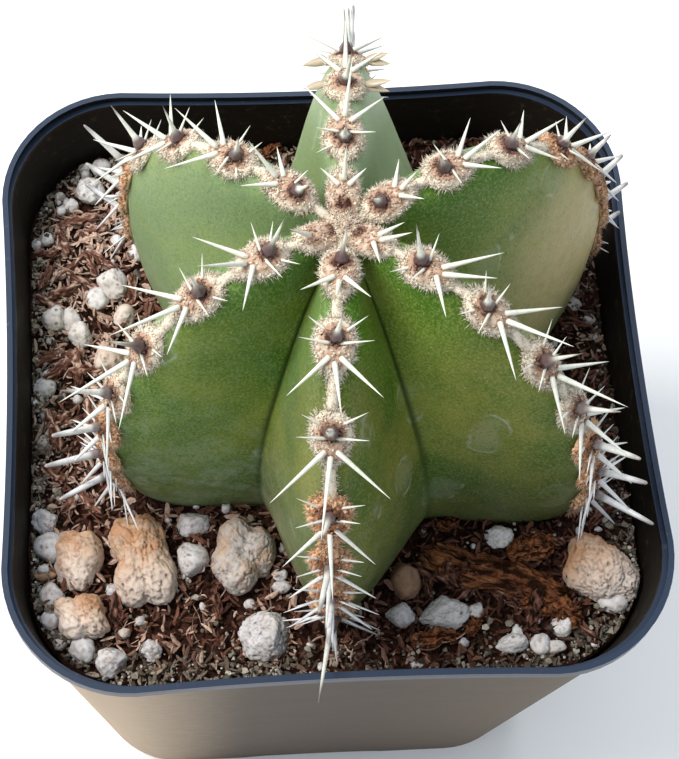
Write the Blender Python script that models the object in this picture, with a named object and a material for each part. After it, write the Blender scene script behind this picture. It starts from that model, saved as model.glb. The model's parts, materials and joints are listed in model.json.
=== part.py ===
"""A young Mexican fence post cactus in its square nursery pot, in metres with +Z up.

The origin is the middle of the pot's base, and -Y is the side with the deepest strip of soil.
"""

import math
import random

import bmesh
import bpy
import numpy as np
from mathutils import Matrix, Vector, noise
from mathutils.geometry import delaunay_2d_cdt

# Gap kept between pieces that touch
SEAT = 0.0003

# The pot: half widths across the flats and corner radii
POT_HEIGHT = 0.0927
RIM_HALF, RIM_RADIUS = 0.0500, 0.0196
WALL_TOP_HALF, WALL_TOP_RADIUS = 0.0492, 0.0190
BASE_HALF, BASE_RADIUS = 0.0402, 0.0155
WALL = 0.0009
WALL_BOW, MIDDLE_BOW = 0.0008, 0.0005
LIP_HEIGHT, LIP_WIDTH = 0.0022, 0.0012
EDGE = 0.0004
FOOT_WALL = 0.0014
FLOOR_HEIGHT, FLOOR_THICKNESS, FLOOR_FILLET = 0.0022, 0.0012, 0.0010
BOSS_RADIUS = 0.0070
FOOT_ARCH_WIDTH, FOOT_ARCH_HEIGHT = 0.0250, 0.0017
FOOT_ARCH_FROM, FOOT_ARCH_TO, FOOT_ARCH_STEPS = 0.0360, 0.0420, 8
DRAIN_RADIUS, DRAIN_OFFSET, DRAIN_SIDES = 0.0040, 0.0235, 16
SIDE_STEPS, CORNER_STEPS = 3, 6

# The soil: its surface below the rim and how it tips and rolls
SOIL_TOP = POT_HEIGHT - 0.0120
SOIL_TIP_X, SOIL_TIP_Y = 0.018, -0.034
SOIL_ROLL, SOIL_ROLL_LENGTH = 0.0011, 0.011
SOIL_POINT_SPACING, SOIL_EDGE_ROOM, SOIL_STEM_ROOM, SOIL_EASE = 0.0068, 0.0025, 0.0020, 0.0060
STEM_HOLE_GAP = 0.0005
WALL_GAP = 0.0004
STEM_HOLE_DEPTH = 0.0165

# The stem stands at this spot and leans a little to -X as it rises
STEM_X, STEM_Y = 0.0046, 0.0011
STEM_LEAN = -0.082

# Stations down the stem: crest radius and height, then valley radius and height, from the soil surface
STATIONS = [
    (0.0000, 0.0553, 0.0000, 0.0553),
    (0.0030, 0.0566, 0.0018, 0.0546),
    (0.0080, 0.0579, 0.0046, 0.0526),
    (0.0142, 0.0579, 0.0082, 0.0496),
    (0.0200, 0.0566, 0.0114, 0.0460),
    (0.0256, 0.0538, 0.0148, 0.0412),
    (0.0322, 0.0473, 0.0188, 0.0346),
    (0.0372, 0.0390, 0.0224, 0.0276),
    (0.0402, 0.0296, 0.0248, 0.0200),
    (0.0416, 0.0180, 0.0260, 0.0120),
    (0.0406, 0.0070, 0.0260, 0.0050),
    (0.0388, 0.0000, 0.0252, 0.0000),
    (0.0355, -0.0060, 0.0235, -0.0060),
    (0.0290, -0.0120, 0.0200, -0.0120),
    (0.0150, -0.0150, 0.0120, -0.0150),
    (0.0000, -0.0155, 0.0000, -0.0155),
]
SOIL_STATION = 11
CREST_ROUNDING = 0.0050
FLANK_LEAD = 0.30
RING_STEP = 0.75
FLANK_STEPS = 5

# Ribs: name, direction in degrees, reach, first areole's distance from the apex, areole pitch factor
RIBS = [
    ("front_right", -34.9, 1.000, 0.0043, 1.00),
    ("back_right", 27.0, 1.090, 0.0075, 1.04),
    ("back", 85.5, 1.000, 0.0048, 1.00),
    ("back_left", 143.0, 0.960, 0.0094, 1.00),
    ("front_left", 204.7, 0.967, 0.0040, 1.00),
    ("front", 262.6, 0.965, 0.0080, 1.12),
]

# Areoles: pitch near the ends and its swell on the shoulder, then the woolly pads and links
AREOLE_PITCH, PITCH_SWELL = 0.0090, 0.0027
SHOULDER, SHOULDER_SPREAD = 0.027, 0.014
PAD_HALF_LENGTH = 0.0044
PAD_SPREAD, LINK_SPREAD = 0.25, 0.09
PAD_THICKNESS, LINK_THICKNESS = 0.0021, 0.0006
CROWN_ARC = 0.0115
LAST_PLACE = 10.55
CROWN_WOOL_RADIUS, CROWN_WOOL_HEIGHT = 0.0032, 0.0026
CROWN_START, CROWN_SPINES = 0.0024, 0.75
WOOL_SEAT, SHORTEST_RING = 0.0004, 0.0004

# Spines: length, root radius, place along the areole, and how far they rise and lean to the apex
UPPER_CENTRAL = (0.0085, 0.00050, 0.0012, 0.90, 0.36)
LOWER_CENTRAL = (0.0110, 0.00042, -0.0016, 0.66, -0.72)
LATERAL = (0.0095, 0.00034, -0.0011, 0.30, -0.90)
RADIAL = (0.0054, 0.00028, 0.0004, 0.42, 0.15)
SPINE_TIP, SPINE_SEAT, SPINE_SIDE = 0.00005, 0.0011, 0.0006
SPINE_JITTER, LENGTH_JITTER = 0.10, 0.15
YOUNG_LENGTH, AGED_LENGTH = 0.80, 1.25
SHORTEST_SPINE = 0.0025
SPINE_CLEARANCE = 0.0007
SEED = 20

# Stones: name, x, y, width, length, height, turn in degrees, colour name
STONES = [
    ("pumice_orange", -0.0294, -0.0272, 0.0098, 0.0148, 0.0090, 8, "pumice_tan"),
    ("pumice_lobed", -0.0140, -0.0272, 0.0094, 0.0116, 0.0076, -10, "pumice_grey"),
    ("pumice_left", -0.0392, -0.0262, 0.0074, 0.0094, 0.0064, 0, "pumice_tan"),
    ("pumice_crumbly", -0.0388, -0.0356, 0.0096, 0.0078, 0.0060, -30, "pumice_tan"),
    ("pumice_round", -0.0114, -0.0398, 0.0080, 0.0078, 0.0064, 0, "perlite_white"),
    ("pumice_pink", 0.0402, -0.0318, 0.0098, 0.0112, 0.0072, 20, "pumice_tan"),
    ("pumice_tan", 0.0106, -0.0318, 0.0050, 0.0062, 0.0048, 15, "pumice_tan"),
    ("perlite_front", 0.0160, -0.0374, 0.0070, 0.0048, 0.0046, 5, "perlite_white"),
    ("perlite_front_small", 0.0094, -0.0374, 0.0046, 0.0040, 0.0038, 0, "perlite_white"),
    ("perlite_valley", -0.0212, -0.0212, 0.0056, 0.0042, 0.0040, 0, "perlite_white"),
    ("perlite_mid_left", -0.0216, -0.0272, 0.0050, 0.0056, 0.0046, 0, "perlite_white"),
    ("perlite_corner", -0.0344, -0.0426, 0.0050, 0.0048, 0.0040, 0, "perlite_white"),
    ("perlite_wall_left", -0.0444, -0.0196, 0.0042, 0.0044, 0.0038, 0, "perlite_white"),
    ("perlite_left_low", -0.0286, -0.0410, 0.0036, 0.0036, 0.0030, 0, "perlite_white"),
    ("perlite_right", 0.0256, -0.0258, 0.0048, 0.0036, 0.0034, 0, "perlite_white"),
    ("perlite_right_low", 0.0258, -0.0428, 0.0052, 0.0030, 0.0030, 0, "perlite_white"),
    ("perlite_right_corner", 0.0335, -0.0405, 0.0034, 0.0034, 0.0030, 0, "perlite_white"),
    ("pebble_left_a", -0.0330, 0.0214, 0.0048, 0.0058, 0.0046, 20, "pumice_grey"),
    ("pebble_left_b", -0.0428, 0.0155, 0.0040, 0.0048, 0.0040, 0, "pumice_grey"),
    ("pebble_left_c", -0.0385, 0.0122, 0.0038, 0.0046, 0.0038, 30, "pumice_grey"),
    ("pebble_left_d", -0.0340, 0.0080, 0.0048, 0.0048, 0.0040, 0, "pumice_tan"),
    ("pebble_back_left", -0.0364, 0.0386, 0.0050, 0.0048, 0.0040, 0, "perlite_white"),
    ("pebble_back", -0.0300, 0.0420, 0.0048, 0.0062, 0.0044, 0, "pumice_tan"),
    ("pebble_right_wall", 0.0340, 0.0390, 0.0044, 0.0040, 0.0036, 0, "perlite_white"),
]
STONE_SUNK = 0.34
STONE_LUMPS = 0.13
SOCKET_GAP = 0.0004

# Bark chips: name, x, y, length, width, thickness, turn in degrees
CHIPS = [
    ("bark_chip_long", 0.0240, -0.0318, 0.0186, 0.0046, 0.0020, -20),
    ("bark_chip_back", 0.0060, 0.0440, 0.0120, 0.0042, 0.0016, 12),
]
CHIP_STEPS, CHIP_SHIFT, CHIP_SUNK = 6, 0.0004, 0.15

# Surface colours: base colour and roughness
FINISHES = {
    "pot_plastic": ((0.085, 0.072, 0.066), 0.45),
    "potting_mix": ((0.090, 0.052, 0.036), 0.95),
    "stem_skin": ((0.095, 0.150, 0.045), 0.50),
    "areole_wool": ((0.520, 0.400, 0.290), 0.90),
    "pumice_tan": ((0.560, 0.420, 0.320), 0.90),
    "pumice_grey": ((0.480, 0.440, 0.410), 0.90),
    "perlite_white": ((0.700, 0.690, 0.680), 0.85),
    "bark": ((0.055, 0.028, 0.016), 0.85),
}


# Objects, materials and meshes
def clear_scene():
    for item in list(bpy.data.objects):
        bpy.data.objects.remove(item, do_unlink=True)


def finish_material(name):
    material = bpy.data.materials.get(name)
    if material is None:
        colour, roughness = FINISHES[name]
        material = bpy.data.materials.new(name)
        material.use_nodes = True
        shader = material.node_tree.nodes["Principled BSDF"]
        shader.inputs["Base Color"].default_value = (*colour, 1.0)
        shader.inputs["Roughness"].default_value = roughness
        shader.inputs["Metallic"].default_value = 0.0
    return material


def add_object(name, mesh, finish, location=(0, 0, 0)):
    item = bpy.data.objects.new(name, mesh)
    item.location = location
    mesh.materials.append(finish_material(finish))
    mesh.shade_smooth()
    mesh.set_sharp_from_angle(angle=math.radians(40))
    bpy.context.scene.collection.objects.link(item)
    return item


def mesh_from(name, fill):
    """A mesh made by fill(bm), with its faces turned outwards."""
    mesh = bpy.data.meshes.new(name)
    bm = bmesh.new()
    fill(bm)
    bmesh.ops.recalc_face_normals(bm, faces=bm.faces)
    bm.to_mesh(mesh)
    bm.free()
    return mesh


def loft(bm, rings):
    """Skin rings of points that all have the same count, with flat ends; a one-point ring is a pole."""
    rows = [[bm.verts.new(point) for point in ring] for ring in rings]
    for upper, lower in zip(rows, rows[1:]):
        count = max(len(upper), len(lower))
        for j in range(count):
            k = (j + 1) % count
            if len(upper) == 1:
                bm.faces.new((upper[0], lower[j], lower[k]))
            elif len(lower) == 1:
                bm.faces.new((upper[j], lower[0], upper[k]))
            else:
                bm.faces.new((upper[j], lower[j], lower[k], upper[k]))
    for row in (rows[0], rows[-1]):
        if len(row) > 1:
            bm.faces.new(row)


def combine(item, tools, name, operation):
    """Join a collection of closed shapes to an object, or cut them out of it, and drop them."""
    group = bpy.data.collections.new(name)
    bpy.context.scene.collection.children.link(group)
    for tool in tools:
        for owner in list(tool.users_collection):
            owner.objects.unlink(tool)
        group.objects.link(tool)
    modifier = item.modifiers.new(name, "BOOLEAN")
    modifier.operation = operation
    modifier.operand_type = "COLLECTION"
    modifier.collection = group
    modifier.solver = "EXACT"
    bpy.context.view_layer.update()
    graph = bpy.context.evaluated_depsgraph_get()
    mesh = bpy.data.meshes.new_from_object(item.evaluated_get(graph))
    item.modifiers.clear()
    item.data = mesh
    for tool in tools:
        bpy.data.objects.remove(tool, do_unlink=True)
    bpy.data.collections.remove(group)


# The pot
def square_ring(half, radius, z, bow=0.0):
    """A square with round corners, whose sides bow in by a little at their middles."""
    flat = half - radius
    points = []
    for quarter in range(4):
        turn = Matrix.Rotation(quarter * math.pi / 2, 2)
        for step in range(SIDE_STEPS):
            y = flat * (2 * step / SIDE_STEPS - 1)
            points.append(turn @ Vector((half - bow * (1 - (y / flat) ** 2), y)))
        for step in range(CORNER_STEPS):
            angle = math.pi / 2 * step / CORNER_STEPS
            points.append(turn @ Vector((flat + radius * math.cos(angle), flat + radius * math.sin(angle))))
    return [Vector((point.x, point.y, z)) for point in points]


def circle_ring(like, radius, z):
    """A circle with a point towards each point of another ring."""
    return [Vector((*(point.xy.normalized() * radius), z)) for point in like]


def pot_inside(z):
    """Half width and corner radius of the pot's inner wall at a height."""
    share = (z - FLOOR_HEIGHT) / (POT_HEIGHT - LIP_HEIGHT - FLOOR_HEIGHT)
    half = BASE_HALF + (WALL_TOP_HALF - BASE_HALF) * share - WALL
    radius = BASE_RADIUS + (WALL_TOP_RADIUS - BASE_RADIUS) * share - WALL
    return half, radius


def build_pot():
    under_lip = POT_HEIGHT - LIP_HEIGHT
    floor = FLOOR_HEIGHT + FLOOR_THICKNESS
    middle = POT_HEIGHT / 2
    low_half, low_radius = pot_inside(floor)
    mid_half, mid_radius = pot_inside(middle)
    top_half, top_radius = pot_inside(under_lip)
    foot = square_ring(BASE_HALF - FOOT_WALL, BASE_RADIUS - FOOT_WALL, 0.0)
    rings = [
        circle_ring(foot, BOSS_RADIUS, 0.0),
        circle_ring(foot, BOSS_RADIUS + EDGE, FLOOR_HEIGHT),
        square_ring(BASE_HALF - FOOT_WALL - EDGE / 2, BASE_RADIUS - FOOT_WALL - EDGE / 2, FLOOR_HEIGHT),
        foot,
        square_ring(BASE_HALF - EDGE, BASE_RADIUS - EDGE, 0.0),
        square_ring(BASE_HALF, BASE_RADIUS, EDGE),
        square_ring(mid_half + WALL, mid_radius + WALL, middle, MIDDLE_BOW),
        square_ring(WALL_TOP_HALF, WALL_TOP_RADIUS, under_lip, WALL_BOW),
        square_ring(RIM_HALF, RIM_RADIUS, under_lip + EDGE, WALL_BOW),
        square_ring(RIM_HALF, RIM_RADIUS, POT_HEIGHT - EDGE, WALL_BOW),
        square_ring(RIM_HALF - EDGE, RIM_RADIUS - EDGE, POT_HEIGHT, WALL_BOW),
        square_ring(RIM_HALF - LIP_WIDTH, RIM_RADIUS - LIP_WIDTH, POT_HEIGHT, WALL_BOW),
        square_ring(top_half, top_radius, under_lip, WALL_BOW),
        square_ring(mid_half, mid_radius, middle, MIDDLE_BOW),
        square_ring(low_half, low_radius, floor + FLOOR_FILLET),
        square_ring(low_half - FLOOR_FILLET, low_radius - FLOOR_FILLET, floor),
    ]
    pot = add_object("pot", mesh_from("pot", lambda bm: loft(bm, rings)), "pot_plastic")
    cutters = [drain_cutter(x, y) for x in (-1, 1) for y in (-1, 1)]
    cutters += [arch_cutter(quarter) for quarter in range(4)]
    combine(pot, cutters, "pot_cuts", "DIFFERENCE")


def drain_cutter(x, y):
    def fill(bm):
        place = Matrix.Translation((x * DRAIN_OFFSET, y * DRAIN_OFFSET, FLOOR_HEIGHT))
        bmesh.ops.create_cone(bm, cap_ends=True, segments=DRAIN_SIDES, radius1=DRAIN_RADIUS,
                              radius2=DRAIN_RADIUS, depth=FLOOR_THICKNESS * 5, matrix=place)
    return add_object("drain_cutter", mesh_from("drain_cutter", fill), "pot_plastic")


def arch_cutter(quarter):
    """The low arch under the middle of one side, between the corner feet."""
    half = FOOT_ARCH_WIDTH / 2
    angles = [math.pi * k / FOOT_ARCH_STEPS for k in range(FOOT_ARCH_STEPS + 1)]
    section = [(half * math.cos(angle), FOOT_ARCH_HEIGHT * math.sin(angle)) for angle in angles]
    section += [(-half, -FOOT_ARCH_HEIGHT), (half, -FOOT_ARCH_HEIGHT)]
    turn = Matrix.Rotation(quarter * math.pi / 2, 4, "Z")

    def fill(bm):
        loft(bm, [[turn @ Vector((reach, y, z)) for y, z in section]
                  for reach in (FOOT_ARCH_FROM, FOOT_ARCH_TO)])
    return add_object("arch_cutter", mesh_from("arch_cutter", fill), "pot_plastic")


# The stem
def spline(rows, place):
    """The smooth curve through rows of numbers, at a place counted in rows."""
    last = len(rows) - 1
    place = min(max(place, 0.0), float(last))
    k = min(int(place), last - 1)
    t = place - k
    quads = zip(rows[max(k - 1, 0)], rows[k], rows[k + 1], rows[min(k + 2, last)])
    return [0.5 * (2 * b + (c - a) * t + (2 * a - 5 * b + 4 * c - d) * t ** 2
                   + (3 * b - a - 3 * c + d) * t ** 3) for a, b, c, d in quads]


def from_axis(degrees, radius, height):
    """A point at a radius and height from the leaning stem's foot."""
    angle = math.radians(degrees)
    return Vector((STEM_LEAN * height + radius * math.cos(angle), radius * math.sin(angle), height))


def crest_point(rib, place):
    _, degrees, reach, _, _ = RIBS[rib]
    radius, height, _, _ = spline(STATIONS, place)
    return from_axis(degrees, radius * reach, height)


def valley_angle(rib, side):
    """Direction of the valley on one side of a rib, side 1 being anticlockwise."""
    here = RIBS[rib][1]
    other = RIBS[(rib + side) % len(RIBS)][1]
    gap = (other - here) * side % 360
    return here + side * gap / 2


def valley_point(rib, side, place):
    reach = (RIBS[rib][2] + RIBS[(rib + side) % len(RIBS)][2]) / 2
    _, _, radius, height = spline(STATIONS, place)
    return from_axis(valley_angle(rib, side), radius * reach, height)


def skin_point(rib, place, across):
    """A point of the skin: across is 0 on the rib's crest and -1 or 1 in its valleys."""
    side = 1 if across >= 0 else -1
    t = abs(across)
    crest = crest_point(rib, place)
    valley = valley_point(rib, side, place)
    angle = math.radians(RIBS[rib][1])
    sideways = Vector((-math.sin(angle), math.cos(angle), 0.0)) * side
    radius = spline(STATIONS, place)[0]
    shoulder = crest + sideways * CREST_ROUNDING * math.tanh(0.5 * radius / CREST_ROUNDING)
    lead = valley.lerp(crest, FLANK_LEAD)
    u = 1 - t
    return crest * u ** 3 + shoulder * 3 * u * u * t + lead * 3 * u * t * t + valley * t ** 3


def skin_normal(rib, place, across):
    step = 0.02
    down = skin_point(rib, place + step, across) - skin_point(rib, place - step, across)
    over = skin_point(rib, place, across + step) - skin_point(rib, place, across - step)
    return down.cross(over).normalized()


def stem_ring(place):
    points = []
    for rib in range(len(RIBS)):
        following = (rib + 1) % len(RIBS)
        points += [skin_point(rib, place, t / FLANK_STEPS) for t in range(FLANK_STEPS + 1)]
        points += [skin_point(following, place, -t / FLANK_STEPS) for t in range(FLANK_STEPS - 1, 0, -1)]
    return points


def build_stem():
    last = len(STATIONS) - 1
    steps = round(last / RING_STEP)
    rings = [[from_axis(0, 0, STATIONS[0][1])]]
    rings += [stem_ring(k * last / steps) for k in range(1, steps)]
    rings += [[from_axis(0, 0, STATIONS[-1][1])]]
    mesh = mesh_from("cactus_stem", lambda bm: loft(bm, rings))
    add_object("cactus_stem", mesh, "stem_skin", (STEM_X, STEM_Y, SOIL_TOP))


# The soil
def soil_height(x, y):
    roll = noise.noise(Vector((x, y, 0.0)) / SOIL_ROLL_LENGTH)
    return SOIL_TOP + SOIL_TIP_X * x + SOIL_TIP_Y * y + SOIL_ROLL * roll


def hole_outline():
    """The stem's outline at the soil surface, with room round it, in the pot's frame."""
    points = stem_ring(SOIL_STATION)
    foot = Vector((STEM_X, STEM_Y, SOIL_TOP))
    outline = []
    for k, point in enumerate(points):
        along = points[(k + 1) % len(points)] - points[k - 1]
        outward = Vector((along.y, -along.x, 0.0)).normalized()
        outline.append(foot + point + outward * STEM_HOLE_GAP)
    return outline


def nearest(point, outline):
    return min((Vector((point[0], point[1])) - corner.xy).length for corner in outline)


def soil_surface_points(edge, hole):
    """Loose points between the pot's wall and the stem."""
    rng = random.Random(SEED)
    reach = int(RIM_HALF / SOIL_POINT_SPACING) + 1
    half = max(point.x for point in edge)
    points = []
    for i in range(-reach, reach + 1):
        for j in range(-reach, reach + 1):
            x = (i + 0.5 * (j % 2) + rng.uniform(-0.2, 0.2)) * SOIL_POINT_SPACING
            y = (j + rng.uniform(-0.2, 0.2)) * SOIL_POINT_SPACING
            open_soil = not in_outline(x, y, hole) and nearest((x, y), hole) > SOIL_STEM_ROOM
            if open_soil and inside_square(x, y, half - SOIL_EDGE_ROOM, WALL_TOP_RADIUS):
                points.append((x, y))
    return points


def inside_square(x, y, half, radius):
    flat = half - radius
    dx, dy = max(abs(x) - flat, 0.0), max(abs(y) - flat, 0.0)
    return math.hypot(dx, dy) < radius


def in_outline(x, y, outline):
    crossings = 0
    for a, b in zip(outline, outline[1:] + outline[:1]):
        if (a.y > y) != (b.y > y) and x < a.x + (y - a.y) * (b.x - a.x) / (b.y - a.y):
            crossings += 1
    return crossings % 2 == 1


def soil_triangles(edge, hole, loose):
    """Spots of the soil's surface and the triangles between them, with the stem's hole left open."""
    flat = [point.xy for point in edge + hole] + [Vector(point) for point in loose]
    first, count = len(edge), len(hole)
    loops = [(k, (k + 1) % first) for k in range(first)]
    loops += [(first + k, first + (k + 1) % count) for k in range(count)]
    spots, _, triangles, _, _, _ = delaunay_2d_cdt(flat, loops, [], 1, 1e-7)
    middles = [sum((spots[k] for k in triangle), Vector((0, 0))) / 3 for triangle in triangles]
    kept = [triangle for triangle, middle in zip(triangles, middles) if not in_outline(*middle, hole)]
    return spots, kept


def build_soil():
    half, radius = pot_inside(SOIL_TOP)
    edge = square_ring(half - WALL_GAP, radius - WALL_GAP, 0.0, WALL_BOW)
    hole = hole_outline()
    first, count = len(edge), len(hole)
    spots, triangles = soil_triangles(edge, hole, soil_surface_points(edge, hole))
    floor = FLOOR_HEIGHT + FLOOR_THICKNESS
    low_half, low_radius = pot_inside(floor)
    inset = WALL_GAP + FLOOR_FILLET

    def fill(bm):
        top = []
        for k, spot in enumerate(spots):
            at_stem = first <= k < first + count
            ease = 0.0 if at_stem else min(nearest(spot, hole) / SOIL_EASE, 1.0)
            height = SOIL_TOP + (soil_height(*spot) - SOIL_TOP) * ease
            top.append(bm.verts.new((spot.x, spot.y, height)))
        for triangle in triangles:
            bm.faces.new([top[k] for k in triangle])
        low = square_ring(low_half - inset, low_radius - inset, floor + SEAT)
        low = [bm.verts.new(point) for point in low]
        deep = [bm.verts.new((point.x, point.y, SOIL_TOP - STEM_HOLE_DEPTH)) for point in hole]
        for k in range(first):
            j = (k + 1) % first
            bm.faces.new((top[k], low[k], low[j], top[j]))
        for k in range(count):
            j = (k + 1) % count
            bm.faces.new((top[first + k], deep[k], deep[j], top[first + j]))
        bm.faces.new(low)
        bm.faces.new(deep)
    soil = add_object("soil", mesh_from("soil", fill), "potting_mix")
    sockets = [build_stone(k, SOCKET_GAP) for k in range(len(STONES))]
    sockets += [build_chip(k, SOCKET_GAP) for k in range(len(CHIPS))]
    combine(soil, sockets, "soil_sockets", "DIFFERENCE")


# Stones and bark
def stone_centre(stone):
    _, x, y, _, _, height, _, _ = stone
    return Vector((x, y, soil_height(x, y) + height * (0.5 - STONE_SUNK)))


def build_stone(index, grow=0.0):
    """A lumpy stone, or with grow its socket."""
    stone = STONES[index]
    name, _, _, width, length, height, turn, finish = stone
    size = Matrix.Diagonal(Vector((width, length, height)) / 2 + Vector((grow, grow, grow))).to_4x4()
    place = Matrix.Translation(stone_centre(stone)) @ Matrix.Rotation(math.radians(turn), 4, "Z")

    def fill(bm):
        bmesh.ops.create_icosphere(bm, subdivisions=2, radius=1.0)
        for vert in bm.verts:
            lump = noise.noise(vert.co * 1.7 + Vector((index * 7.3, 0.0, 3.1)))
            vert.co *= 1 - STONE_LUMPS + 2 * STONE_LUMPS * lump
        bm.transform(place @ size)
    return add_object(name, mesh_from(name, fill), finish)


def build_chip(index, grow=0.0):
    """A splinter of bark with ragged ends, or with grow its socket."""
    name, x, y, length, width, thickness, turn = CHIPS[index]
    rng = random.Random(SEED + index)
    rest = soil_height(x, y) + thickness * (0.5 - CHIP_SUNK)
    place = Matrix.Translation((x, y, rest)) @ Matrix.Rotation(math.radians(turn), 4, "Z")
    rings = []
    for step in range(CHIP_STEPS + 1):
        share = 2 * step / CHIP_STEPS - 1
        taper = 0.55 + 0.45 * math.cos(share * math.pi / 2)
        half = width / 2 * taper + grow
        thick = thickness / 2 * taper + grow
        shift = rng.uniform(-CHIP_SHIFT, CHIP_SHIFT)
        along = share * (length / 2 + grow)
        outline = [(-half, -thick * 0.5), (half * 0.8, -thick), (half, thick * 0.6), (-half * 0.7, thick)]
        rings.append([place @ Vector((along, shift + across, up)) for across, up in outline])
    return add_object(name, mesh_from(name, lambda bm: loft(bm, rings)), "bark")


# Areoles and spines
def crest_arcs(rib):
    """Matching lists of places and distances from the apex along a rib's crest."""
    places = [k * 0.05 for k in range(int(SOIL_STATION / 0.05) + 1)]
    points = [crest_point(rib, place) for place in places]
    steps = [(b - a).length for a, b in zip(points, points[1:])]
    return places, [0.0] + list(np.cumsum(steps))


def areole_arcs(rib):
    """Distances of a rib's areoles from the apex."""
    places, arcs = crest_arcs(rib)
    limit = float(np.interp(LAST_PLACE, places, arcs)) - PAD_HALF_LENGTH
    arc, pitch = RIBS[rib][3], RIBS[rib][4]
    found = []
    while arc < limit:
        found.append(arc)
        swell = math.exp(-((arc - SHOULDER) / SHOULDER_SPREAD) ** 2)
        arc += pitch * (AREOLE_PITCH + PITCH_SWELL * swell)
    return found


def wool_ring(rib, place, swell):
    """Section of the woolly strip: its seat on the skin, then its back."""
    spread = LINK_SPREAD + (PAD_SPREAD - LINK_SPREAD) * swell
    thick = LINK_THICKNESS + (PAD_THICKNESS - LINK_THICKNESS) * swell
    ring = []
    for across, rise in ((-1, 0), (-0.5, 0), (0, 0), (0.5, 0), (1, 0), (0.5, 0.8), (0, 1), (-0.5, 0.8)):
        point = skin_point(rib, place, across * spread)
        normal = skin_normal(rib, place, across * spread)
        ring.append(point + normal * (WOOL_SEAT + thick * rise))
    return ring


def wool_strip(rib, arcs, start, stop):
    places, table = crest_arcs(rib)
    marks = {start, stop}
    for arc in arcs:
        marks.update(arc + PAD_HALF_LENGTH * share for share in (-1, -0.5, 0, 0.5, 1))
    rings = []
    for mark in sorted(mark for mark in marks if start <= mark <= stop):
        if rings and mark - previous < SHORTEST_RING:
            continue
        previous = mark
        shares = [abs(mark - arc) / PAD_HALF_LENGTH for arc in arcs]
        swell = max([math.cos(math.pi / 2 * share) for share in shares if share < 1], default=0.0)
        rings.append(wool_ring(rib, float(np.interp(mark, table, places)), max(swell, 0.0)))
    return rings


def areole_frame(rib, arc):
    """Seat of an areole and its outward, towards-apex and sideways directions."""
    places, table = crest_arcs(rib)
    place = float(np.interp(arc, table, places))
    outward = skin_normal(rib, place, 0.0)
    towards = (crest_point(rib, place - 0.1) - crest_point(rib, place + 0.1)).normalized()
    return crest_point(rib, place), outward, towards, outward.cross(towards)


def is_clear(rib, point):
    """True where a spine's point keeps clear of the pot, the soil and the stones."""
    spot = point + Vector((STEM_X, STEM_Y, SOIL_TOP))
    half, radius = pot_inside(spot.z)
    over_rim = spot.z > POT_HEIGHT + SPINE_CLEARANCE
    if not over_rim and not inside_square(spot.x, spot.y, half - WALL_BOW - SPINE_CLEARANCE, radius):
        return False
    if spot.z < soil_height(spot.x, spot.y) + 2 * SPINE_CLEARANCE:
        return False
    for stone in STONES:
        away = spot - stone_centre(stone)
        away.rotate(Matrix.Rotation(math.radians(-stone[6]), 3, "Z"))
        semi = [size / 2 + 2 * SPINE_CLEARANCE for size in stone[3:6]]
        if sum((away[k] / semi[k]) ** 2 for k in range(3)) < 1:
            return False
    return True


def in_sector(rib, point):
    """True where a point lies between the planes of a rib's two valleys."""
    flat = Vector((point.x - STEM_LEAN * point.z, point.y))
    for side in (-1, 1):
        angle = math.radians(valley_angle(rib, side))
        if side * (flat.x * math.sin(angle) - flat.y * math.cos(angle)) < SPINE_CLEARANCE:
            return False
    return True


def settle_spine(rib, root, direction, length):
    """Tilt a spine up or shorten it until it is clear of all but its own rib."""
    for _ in range(24):
        probes = [root + direction * length * share for share in (0.4, 0.6, 0.8, 1.0)]
        if not in_sector(rib, probes[-1]):
            length *= 0.9
        elif not all(is_clear(rib, probe) for probe in probes):
            direction = (direction + Vector((0, 0, 0.14))).normalized()
        else:
            break
    return direction, length


def areole_spines(rib, arc, rng, share=1.0):
    """Root, direction, length and root radius of each spine of an areole."""
    seat, outward, towards, sideways = areole_frame(rib, arc)
    plans = [(UPPER_CENTRAL, 0), (LOWER_CENTRAL, 0)]
    plans += [(kind, side) for side in (-1, 1) for kind in (LATERAL, RADIAL)]
    age = arc / crest_arcs(rib)[1][-1]
    share *= YOUNG_LENGTH + (AGED_LENGTH - YOUNG_LENGTH) * age
    spines = []
    for (length, radius, place, rise, lean), side in plans:
        root = seat + outward * SPINE_SEAT + towards * place + sideways * SPINE_SIDE * side
        way = (outward * rise + towards * lean + sideways * side).normalized()
        way += Vector([rng.uniform(-SPINE_JITTER, SPINE_JITTER) for _ in range(3)])
        length *= share * rng.uniform(1 - LENGTH_JITTER, 1 + LENGTH_JITTER)
        way, length = settle_spine(rib, root, way.normalized(), length)
        if length > SHORTEST_SPINE:
            spines.append((root, way, length, radius))
    return spines


def spine_object(number, spine):
    start, way, length, radius = spine
    turn = way.to_track_quat("Z", "Y").to_matrix().to_4x4()
    place = Matrix.Translation(start + way * length / 2) @ turn

    def fill(bm):
        bmesh.ops.create_cone(bm, cap_ends=True, segments=3, radius1=radius, radius2=SPINE_TIP,
                              depth=length, matrix=place)
    name = "spine_%03d" % number
    return add_object(name, mesh_from(name, fill), "areole_wool", (STEM_X, STEM_Y, SOIL_TOP))


def build_row(rib):
    """The areoles of one rib past the crown, with their wool and spines, as one body."""
    rng = random.Random(SEED + 10 * rib)
    places, table = crest_arcs(rib)
    arcs = [arc for arc in areole_arcs(rib) if arc > CROWN_ARC]
    stop = float(np.interp(LAST_PLACE, places, table))
    rings = wool_strip(rib, arcs, CROWN_ARC + SEAT, stop)
    name = "areoles_" + RIBS[rib][0]
    mesh = mesh_from(name, lambda bm: loft(bm, rings))
    row = add_object(name, mesh, "areole_wool", (STEM_X, STEM_Y, SOIL_TOP))
    spines = [spine for arc in arcs for spine in areole_spines(rib, arc, rng)]
    combine(row, [spine_object(k, spine) for k, spine in enumerate(spines)], "row_spines", "UNION")


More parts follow.
